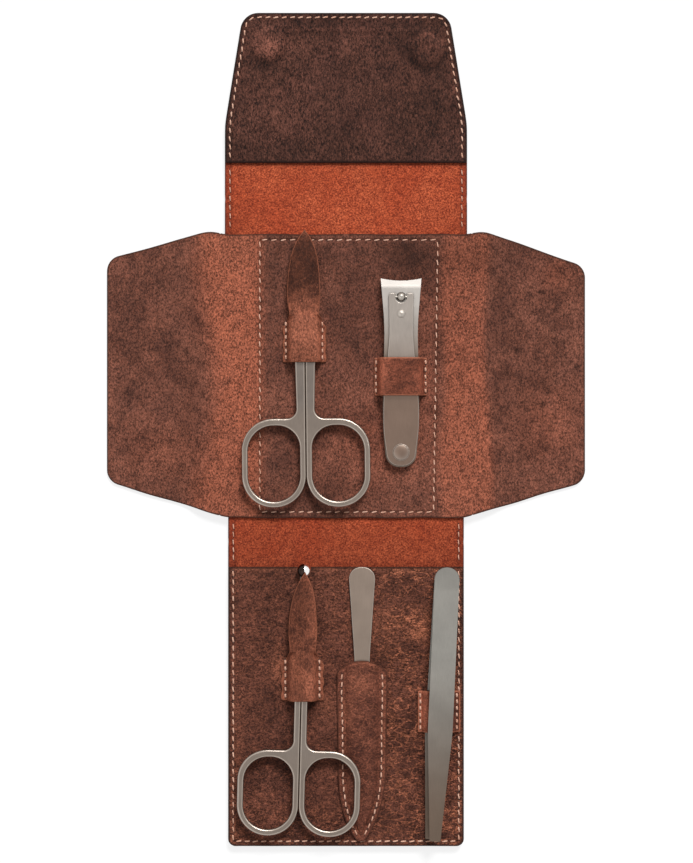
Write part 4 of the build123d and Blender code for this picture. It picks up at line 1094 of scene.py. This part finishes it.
# %% [markdown]
# ## The file's sheath
#
# The file slides into a pointed patch that is stitched down along its two long sides. Over the
# blade the patch is pushed up into a low, flat-topped bulge, one minus the fourth power of the
# distance from its middle line, and its mouth is cut in an arch.

# %% Sheath
def sheath_half(y):
    """Half width of the sheath: nearly parallel, then drawn in to a blunt point."""
    t = np.clip((-102.0 - y) / 35.3, 0, 1)
    return 8.3 - 1.9 * t ** 1.6 - 5.2 * t ** 5.0 + 0.15 * np.sin(0.2 * y)


def sheath_middle(y):
    """Middle line of the sheath, which drifts a little to the left towards the point."""
    return file_x - 0.45 * ease(-y, 112, 137)


sheath_mouth, sheath_point, sheath_length = -77.15, -137.05, 60.3
seam_from_edge = 1.65
share = section_shares(57)[None]
from_mouth = np.concatenate([np.linspace(0, 3.5, 9)[:-1], np.linspace(3.5, 54, 56)[:-1],
                             sheath_length - 6.3 * np.linspace(1, 0, 14) ** 1.4])[:, None] / sheath_length
mouth_line = sheath_mouth - 3.6 * np.abs(share) ** 2.2
y = mouth_line + from_mouth[::-1] * (sheath_point - mouth_line)
half = sheath_half(y) - holder_rim
x = sheath_middle(y) + half * share
from_middle = np.abs(x - sheath_middle(y)) / np.maximum(half - 2.6, 0.35)
bulge = np.clip(1 - from_middle ** 4, 0, 1) * ease(y, -135.5, -130.5)
z = surface + holder_leather + 1.42 * bulge ** 0.8 + 0.05 * np.sin(1.1 * y)
holder("sheath_leather_patch", grid(x, y, z), 0.88, sheath_leather, "tool_panel", "file_sheath",
       worn=spots((0.45, 5, -84.5, 4, 3), (0.3, 13, -100, 1.6, 20), (0.35, 0, -96, 3, 6),
                  (0.5, 5.35, -77.6, 7, 0.8)),
       shade=spots((0.2, 9.5, -112, 3, 16), (0.12, 1, -118, 3, 14)))

# %% [markdown]
# ## Thread
#
# Saddle stitch shows as separate, slightly slanted bars of thick thread. Each bar rises out of
# one hole and dives into the next. A bar is a short tube of a few rings, so hundreds of them stay
# light, and all bars of a seam are worked out at once: the ring is turned to each bar's heading
# and moved to its place. A shallow dimple under each end, coloured dark as painted shade, stands
# for the hole.

# %% Thread material and painted hole shade
thread, tree, shader = new_material("waxed_thread")
place = tree.own_place()
soil = tree.effect(mottle, Place=place, Patch=5.0, Softness=0.25, Shift=0.0)["Patches"]
wave = {"Vector": place, "Scale": 1.9, "Distortion": 1.5}
twist = tree.add("TexWave", wave, bands_direction="DIAGONAL")["Fac"]
colour = tree.mix(soil, screen(210, 152, 124), screen(236, 192, 168))
colour = tree.mix(tree.times(twist, 0.2), colour, screen(176, 120, 96))
tree.fill(shader, {"Base Color": colour, "Roughness": tree.times(twist, 0.1, 0.55),
                   "Normal": tree.bump(twist, 0.7, 0.06)})

# The holes are painted shade: a dark mark where the thread goes down into the leather.
needle_hole_shade, tree, shader = new_material("needle_hole_shade")
soil = tree.effect(mottle, Place=tree.own_place(), Patch=2.0, Softness=0.2, Shift=0.0)["Patches"]
tree.fill(shader, {"Base Color": tree.mix(soil, screen(34, 20, 16), screen(58, 34, 26)), "Roughness": 0.85})
print("thread and holes", thread.name, needle_hole_shade.name)


# %% Seam helpers
def along(path, pitch):
    """Places and headings at an even pitch along a line of (x, y) points."""
    length = np.concatenate([[0], np.cumsum(np.hypot(*np.diff(path, axis=0).T))])
    count = max(int(round(length[-1] / pitch)), 1)
    at = (np.arange(count) + 0.5) * length[-1] / count
    near = 0.4

    def point(shift):
        return np.stack([np.interp(at + shift, length, path[:, axis]) for axis in (0, 1)], -1)

    way = point(near) - point(-near)
    return point(0), np.arctan2(way[:, 1], way[:, 0])


def copies(name, points, walls, lids, turned):
    """One mesh of many like solids: (count, corners, 3) points, and the faces of the first one."""
    if turned:
        walls, lids = walls[:, ::-1], lids[:, ::-1]
    move = points.shape[1] * np.arange(len(points))[:, None, None]
    blocks = [(faces[None] + move).reshape(-1, faces.shape[1]) for faces in (walls, lids)]
    return mesh_piece(name, points.reshape(-1, 3), *blocks)


def sew(name, path, pitch, level, body, length, radius, slant, proud=0.16, hole=0.42, below=False):
    """Bars of thread along a path, with a dimple of painted hole shade at both ends of each bar.

    A bar's ring lies at u from -1 to 1 along it: its centre rises by proud * (1 - u^4) and dives
    by a share of u^6, and its radius shrinks by a third towards the ends. Below a sheet the bars
    are turned over.
    """
    place, heading = along(path, pitch)
    phase = np.arange(len(place))
    place = place + 0.05 * np.stack([np.sin(2.1 * phase), np.cos(1.7 * phase)], -1)
    heading = heading + slant + 0.05 * np.sin(3.3 * phase)
    up = -1 if below else 1
    rings, spokes = 6, 6
    narrowed, flattened, dive = 0.35, 0.75, 0.3
    u = np.linspace(-1, 1, rings)
    turn = np.arange(spokes) * np.pi / 3
    thick = radius * (1 - narrowed * u ** 4)
    local_x = (u * length / 2)[:, None] + 0 * turn[None]
    local_y = thick[:, None] * np.cos(turn)[None]
    rise = proud * (1 - u ** 4) - dive * u ** 6
    local_z = flattened * thick[:, None] * np.sin(turn)[None] + rise[:, None]
    cos, sin = np.cos(heading)[:, None, None], np.sin(heading)[:, None, None]
    x = place[:, 0, None, None] + cos * local_x - sin * local_y
    y = place[:, 1, None, None] + sin * local_x + cos * local_y
    bars = np.stack([x, y, level + up * (local_z[None] + 0 * x)], -1).reshape(len(place), -1, 3)
    ring = np.arange(rings * spokes).reshape(rings, spokes)
    nxt = np.roll(ring, -1, axis=1)
    walls = np.stack([ring[:-1], nxt[:-1], nxt[1:], ring[1:]], -1).reshape(-1, 4)
    piece = copies(name, bars, walls, np.stack([ring[0, ::-1], ring[-1]]), below)
    finish_piece(piece, thread, body=body)
    if hole:
        corners, lift, mouth, from_middle = 8, up * 0.03, (0.62, 0.55), 0.49
        way = np.stack([np.cos(heading), np.sin(heading)], -1)
        ends = np.concatenate([place + side * from_middle * length * way for side in (-1, 1)])
        turn = np.arange(corners) * np.pi / 4
        rim_x = ends[:, 0, None] + mouth[0] * hole * np.cos(turn)[None]
        rim_y = ends[:, 1, None] + mouth[1] * hole * np.sin(turn)[None]
        rim = np.stack([rim_x, rim_y, level - lift + 0 * rim_x], -1)
        top = np.stack([0.6 * rim_x + 0.4 * ends[:, 0, None], 0.6 * rim_y + 0.4 * ends[:, 1, None],
                        level + lift + 0 * rim_x], -1)
        first = np.arange(corners)
        second = np.roll(first, -1)
        walls = np.stack([first, second, second + corners, first + corners], -1)
        lids = np.stack([first[::-1], first + corners])
        dimples = copies(f"{name}_holes", np.concatenate([rim, top], 1), walls, lids, below)
        finish_piece(dimples, needle_hole_shade, body=body)
    return len(place)


# %% [markdown]
# The seams themselves: one runs round the flap, along both edges of the orange hinges and round
# the tool panel, 1.8 mm inside the edge. A rectangle of longer stitches holds the inner sheet.
# Small bead-like stitches hold the tongues and loops, and two lines that meet in a point hold the
# sheath. The edge seam goes through all the layers, so it shows on the back as well.
#
# A look is a stitch's length, radius and slant, and on the front also how proud it stands and the
# size of its holes.

# %% Sew every seam
edge_pitch, rectangle_pitch = 2.75, 3.05
back_level = 0.2
tab_level = surface + 0.93
left_and_right = (("left", -1), ("right", 1))


def strip_seam(low, high, side):
    """Line 1.8 mm inside one edge of the strip, from low to high."""
    y = np.linspace(low, high, 160)
    return np.stack([side * (strip_half_width(y) - seam_inset), y], -1)


through = [
    ("flap_seam_thread", "flap_back_thread", flap_seam(), edge_pitch, surface, "flap",
     (2.05, 0.25, 0.2), (2.0, 0.22, 0.18)),
    ("panel_seam_thread", "panel_back_thread", panel_seam(), edge_pitch, surface - panel_settle, "tool_panel",
     (2.15, 0.26, 0.14), (2.1, 0.24, 0.14)),
]
hinges = (("upper", upper_fold + 1.8, flap_fold - 1.6), ("lower", panel_fold + 1.6, lower_fold - 1.6))
for word, side in left_and_right:
    for hinge, low, high in hinges:
        name = f"{hinge}_hinge_{word}"
        through.append((f"{name}_thread", f"{name}_back_thread", strip_seam(low, high, side), edge_pitch,
                        lining_top, f"{hinge}_spine", (2.0, 0.19, 0.1), (2.0, 0.22, 0.1)))
corners = np.array([(stitched_left, stitched_high), (stitched_left, stitched_low),
                    (29.2, stitched_low), (30.6, stitched_high)])
for number, (start, end) in enumerate(zip(corners, np.roll(corners, -1, axis=0)), 1):
    line = start + np.linspace(0, 1, 60)[:, None] * (end - start)
    through.append((f"rectangle_seam_thread_{number}", f"rectangle_back_thread_{number}", line,
                    rectangle_pitch, surface - 0.24, "case_middle", (2.75, 0.27, 0.16, 0.13, 0),
                    (2.5, 0.24, 0.16)))

stitches = 0
for name, _, line, pitch, level, body, look, _ in through:
    stitches += sew(name, line, pitch, level, body, *look)
for _, name, line, pitch, _, body, _, look in through:
    stitches += sew(name, line, pitch, back_level, body, *look, below=True)

bead_look = (1.55, 0.36, 0.12, 0.2, 0.5)
for name, body, places_x, low, high, pitch, level in (
        ("nail_tongue", "case_middle", (-20.0, -7.95), 22.9, 36.3, 2.35, tab_level),
        ("ball_tongue", "tool_panel", (-20.15, -8.85), -89.8, -76.2, 2.3, tab_level),
        ("clipper_loop", "case_middle", (10.0, 26.45), 11.7, 23.5, 2.4, tab_level),
        ("tweezers_loop", "tool_panel", (24.75, 36.9), -100.3, -87.4, 2.3, tab_level - 0.05)):
    for (word, _), x in zip(left_and_right, places_x):
        line = np.array([(x, low), (x, high)])
        stitches += sew(f"{name}_{word}_thread", line, pitch, level, body, *bead_look)

seam_y = np.linspace(-81.2, -135.2, 90)
for word, side in left_and_right:
    line = np.stack([sheath_middle(seam_y) + side * (sheath_half(seam_y) - seam_from_edge), seam_y], -1)
    stitches += sew(f"sheath_{word}_thread", line, 2.55, tab_level, "tool_panel", 1.95, 0.25, 0.1 * side)
print("stitches", stitches)

# %% [markdown]
# ## Steel
#
# The tools are satin stainless steel: forged, ground and blasted to a soft, slightly warm grey.
# The construction solids already have the right shape and rounded edges, so they stay and only
# get a finish. Very fine brush marks run along each tool and change its roughness a little. The
# rounded rims carry a painted highlight and the side walls a painted shade. The round tips of the
# second pair of scissors are polished and carry a painted reflection, white on one tip and dark on
# the other. The tone of the clipper, its jaw, the tweezers and the scissors changes along each
# tool as a painted reflection, and the clipper is darker and warmer at its lower end.

# %% Steel effect and materials
brushed, given, result = new_group(
    "brushed_steel", {"Place": None, "Marks": (9.0, 0.25, 9.0)}, "Streaks", "Clouds")
stretched = brushed.vector("MULTIPLY", given["Place"], given["Marks"])
brushed.fill(result, {"Streaks": brushed.noise(stretched, 1.0, 4.0, 0.65)["Fac"],
                      "Clouds": brushed.noise(given["Place"], 0.12, 3.0)["Fac"]})
# Painted shade for the steel's side walls.
wall_shade_tone = screen(76, 69, 63)


def steel(name, tone, roughness, marks, polish_and_reflection_from=None, rim_tone=(196, 189, 180), highlight_share=0.4, rim_rough=0.14,
          lower_reflection_tone=None, change=(38.0, 8.0), tip_reflection_tone=None):
    """Satin steel with a painted highlight on its rounded rims and painted shade on its side walls.

    The lean is the upward part of the surface's normal: 1 on level faces and 0 on walls. The rim
    mask rises as the lean falls from 1 to 0.93 and ends between 0.55 and 0.25; there the rim tone is
    mixed in as a painted highlight, and rim_rough is added to the roughness. The tone turns into the
    lower tone between the two Y places of change, a painted reflection that changes along the tool.
    Above the Y place where the tip starts, in mm, the steel is polished and has the tip tone, a
    painted reflection.
    """
    material, tree, shader = new_material(name)
    place = tree.own_place()
    marks_out = tree.effect(brushed, Place=place, Marks=marks)
    streaks = tree.less(marks_out["Streaks"], 0.5)
    normal = tree.add("TexCoord", {})["Normal"]
    lean = tree.maths("ABSOLUTE", tree.add("SeparateXYZ", {0: normal})["Z"])
    along_tool = tree.add("SeparateXYZ", {0: place})["Y"]
    # Painted highlight on the rounded rims and painted shade on the walls, both set by the lean of the
    # normal.
    rim = tree.times(tree.step(lean, 1.0, 0.93), tree.step(lean, 0.25, 0.55))
    cloudy = tree.times(tree.less(marks_out["Clouds"], 0.5), 0.35, 1.0)
    light = tree.times(tree.times(streaks, 0.30, 1.0), cloudy)
    # Painted reflection: the tone changes to the lower tone along the tool.
    colour = tree.mix(tree.step(along_tool, *change), screen(*tone), screen(*(lower_reflection_tone or tone)))
    colour = tree.mix(tree.times(rim, highlight_share), tree.darken(colour, light), screen(*rim_tone))
    colour = tree.mix(tree.times(tree.step(lean, 0.5, 0.1), 0.7), colour, wall_shade_tone)
    rough = tree.times(rim, rim_rough, tree.times(streaks, 0.16, roughness))
    # Polished tip, coloured with its tip tone as a painted reflection.
    if polish_and_reflection_from is not None:
        bright = tree.step(along_tool, polish_and_reflection_from - 0.4, polish_and_reflection_from + 0.4)
        rough = tree.times(bright, 0.07 - roughness, rough, clamp=True)
        colour = tree.mix(bright, colour, screen(*tip_reflection_tone))
    tree.fill(shader, {"Base Color": colour, "Roughness": rough, "Metallic": 1.0,
                       "Normal": tree.bump(marks_out["Streaks"], 0.5, 0.006)})
    return material


# Scissors: painted highlight on the rims, and a painted reflection that changes the tone at the rings.
ring_look = {"lower_reflection_tone": (122, 111, 102), "rim_tone": (172, 160, 149), "highlight_share": 0.8, "rim_rough": 0.0}
ball_look = {"change": (-103.0, -110.0), "polish_and_reflection_from": -49.2, **ring_look}
scissors_steel = steel("scissors_steel", (114, 105, 98), 0.34, (5.0, 0.4, 5.0), change=(10.0, 2.0),
                       **ring_look)
# Ball tips: the left half's tip has a painted white reflection and the right half's a painted dark one.
ball_left_lit_tip_steel, ball_right_shaded_tip_steel = [
    steel(f"ball_scissors_{word}_steel", (122, 112, 104), 0.34, (5.0, 0.4, 5.0), tip_reflection_tone=tip, **ball_look)
    for word, tip in (("left", (246, 244, 241)), ("right", (52, 42, 38)))]
# The clipper's lower end has a darker, warmer painted reflection.
clipper_steel = steel("clipper_steel", (156, 147, 139), 0.36, (7.0, 0.3, 7.0), lower_reflection_tone=(118, 99, 87))
# The jaw is lighter at the top and darker below, a painted reflection.
jaw_steel = steel("clipper_jaw_steel", (164, 158, 152), 0.5, (7.0, 0.3, 7.0), rim_tone=(190, 186, 181),
                  highlight_share=0.3, lower_reflection_tone=(116, 102, 91), change=(44.0, 20.0))
file_steel = steel("file_steel", (128, 114, 103), 0.42, (8.0, 0.25, 8.0))
# The tweezers' tips have a darker, warmer painted reflection.
tweezers_steel = steel("tweezers_steel", (130, 127, 121), 0.40, (8.0, 0.3, 8.0), lower_reflection_tone=(100, 86, 75),
                       change=(-70.0, -132.0))
screw_steel = steel("screw_steel", (150, 143, 134), 0.25, (3.0, 3.0, 3.0))
nickel = steel("magnet_nickel", (186, 184, 182), 0.2, (1.5, 1.5, 1.5))
print("effect", brushed.tree.name, "and its steels")

# %% [markdown]
# ### The clipper's thumb disc
#
# The lever ends in a low dome for the thumb. The dome stands on the lever's own sloping top: a
# plane z = a x + b y + c is fitted to the solid's points near the disc, and rings of points rise
# from it by rise * (1 - r2), with r the share of the radius. A point above closes the crown, and
# one just below the plane closes the foot.

# %% Thumb dome
thumb_x, thumb_y, thumb_radius, thumb_rise, sunk = 18.3, -7.6, 2.6, 0.34, 0.1
fit_radius, fit_depth = 2.75, 0.3
rings, spokes = 11, 48
points = places_of(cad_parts["clipper_lever"])
near = points[np.hypot(points[:, 0] - thumb_x, points[:, 1] - thumb_y) < fit_radius]
near = near[near[:, 2] > near[:, 2].max() - fit_depth]
plane = np.linalg.lstsq(np.c_[near[:, :2], np.ones(len(near))], near[:, 2], rcond=None)[0]
reach = np.linspace(0, 1, rings + 1)[1:, None]
turn = np.linspace(0, 2 * np.pi, spokes, endpoint=False)[None]
x = thumb_x + thumb_radius * reach * np.cos(turn)
y = thumb_y + thumb_radius * reach * np.sin(turn)
level = plane[0] * x + plane[1] * y + plane[2]
dome = grid(x, y, level + thumb_rise * (1 - reach ** 2)).reshape(-1, 3)
foot = np.array([thumb_x, thumb_y, plane @ (thumb_x, thumb_y, 1)])
numbers = np.arange(len(dome)).reshape(rings, spokes)
inner, outer = numbers[0], numbers[-1]
crown = np.stack([inner, np.roll(inner, -1), np.full(spokes, len(dome))], -1)
base = np.stack([np.roll(outer, -1), outer, np.full(spokes, len(dome) + 1)], -1)
shell = np.concatenate([dome, foot[None] + (0, 0, thumb_rise), foot[None] - (0, 0, sunk)])
thumb_dome = mesh_piece("clipper_thumb_dome", shell, ladder_quads(numbers), crown, base)
print("thumb dome", len(shell), "points, level", round(float(foot[2]), 2), "mm, slope", plane[:2].round(3))

# %% Finish the steel nodes
finishes = {
    scissors_steel: ("nail_scissors_left_half", "nail_scissors_right_half"),
    ball_left_lit_tip_steel: ("ball_scissors_left_half",),
    ball_right_shaded_tip_steel: ("ball_scissors_right_half",),
    clipper_steel: ("clipper_lower_leaf", "clipper_lever"),
    jaw_steel: ("clipper_upper_leaf",),
    screw_steel: ("nail_scissors_screw", "ball_scissors_screw", "clipper_post", "clipper_cross_pin",
                  "clipper_tail_rivet"),
    file_steel: ("nail_file",),
    tweezers_steel: ("tweezers_front_arm", "tweezers_rear_arm"),
    nickel: ("flap_magnets", "tool_panel_magnets"),
}
for material, names in finishes.items():
    for name in names:
        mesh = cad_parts[name].data
        mesh.materials.clear()
        mesh.materials.append(material)
finish_piece(thumb_dome, clipper_steel, body="clipper_thumb_lever")
print("steel nodes finished", sum(map(len, finishes.values())))

# %% [markdown]
# ## Floor and light
#
# The case lies on a plain pale floor. A broad, soft sun from beyond the flap gives the tools
# their shadows, a weaker one from the other side opens them up, and an even sky fills the rest.
# Together they light a level sheet to its own colour. The floor adds a little of its own light,
# for the camera and for reflections only, so that it reads as white paper and still holds the
# shadow of the case. The sky is as bright as that for the same rays, and dimmer as a light.

# %% Floor
floor_half, floor_level = 4000, -0.2
white = (1, 1, 1, 1)


def seen_directly(tree):
    """1 for rays from the camera, from reflections and through glass, and 0 for light."""
    rays = tree.add("LightPath", {})
    return tree.most(tree.most(rays["Is Camera Ray"], rays["Is Glossy Ray"]), rays["Is Transmission Ray"])


signs = np.array([(-1, -1), (1, -1), (1, 1), (-1, 1)])
floor = mesh_piece("floor", np.c_[signs * floor_half, np.full(4, floor_level)], np.array([[0, 1, 2, 3]]))
paper, tree, shader = new_material("floor_paper")
fibre = tree.noise(tree.add("TexCoord", {})["Object"], 900.0, 2.0)["Fac"]
tone = tree.mix(fibre, (0.22, 0.22, 0.22, 1), (0.24, 0.24, 0.24, 1))
tree.fill(shader, {"Base Color": tone, "Roughness": 0.9})
glow = tree.add("Emission", {"Color": white, "Strength": tree.times(seen_directly(tree), 0.79)})
both = tree.add("AddShader", {0: shader.outputs[0], 1: glow[0]})
tree.fill(paper.node_tree.nodes["Material Output"], {"Surface": both[0]})
floor.data.materials.append(paper)
print("floor at", floor_level, "mm")

# %% Sky and suns
world = bpy.data.worlds.new("studio_sky")
world.use_nodes = True
tree = Nodes(world.node_tree)
tree.fill(world.node_tree.nodes["Background"],
          {"Color": white, "Strength": tree.times(seen_directly(tree), 0.68, 0.32)})
bpy.context.scene.world = world


def sun(name, towards, level, spread_angle):
    """Broad sun from a direction; level is the share of full brightness that it gives a flat sheet."""
    data = bpy.data.lights.new(name, "SUN")
    direction = np.array(towards) / np.linalg.norm(towards)
    data.energy = float(np.pi * level / direction[2])
    data.angle = np.radians(spread_angle)
    lamp = bpy.data.objects.new(name, data)
    bpy.context.scene.collection.objects.link(lamp)
    turn = np.arctan2(direction[0], -direction[1])
    lamp.rotation_euler = (float(np.arccos(direction[2])), 0.0, float(turn))
    print(name, "energy", round(data.energy, 2))


sun("key_light", (0.20, 0.64, 0.74), 0.66, 20)
sun("fill_light", (-0.50, -0.35, 0.79), 0.08, 50)
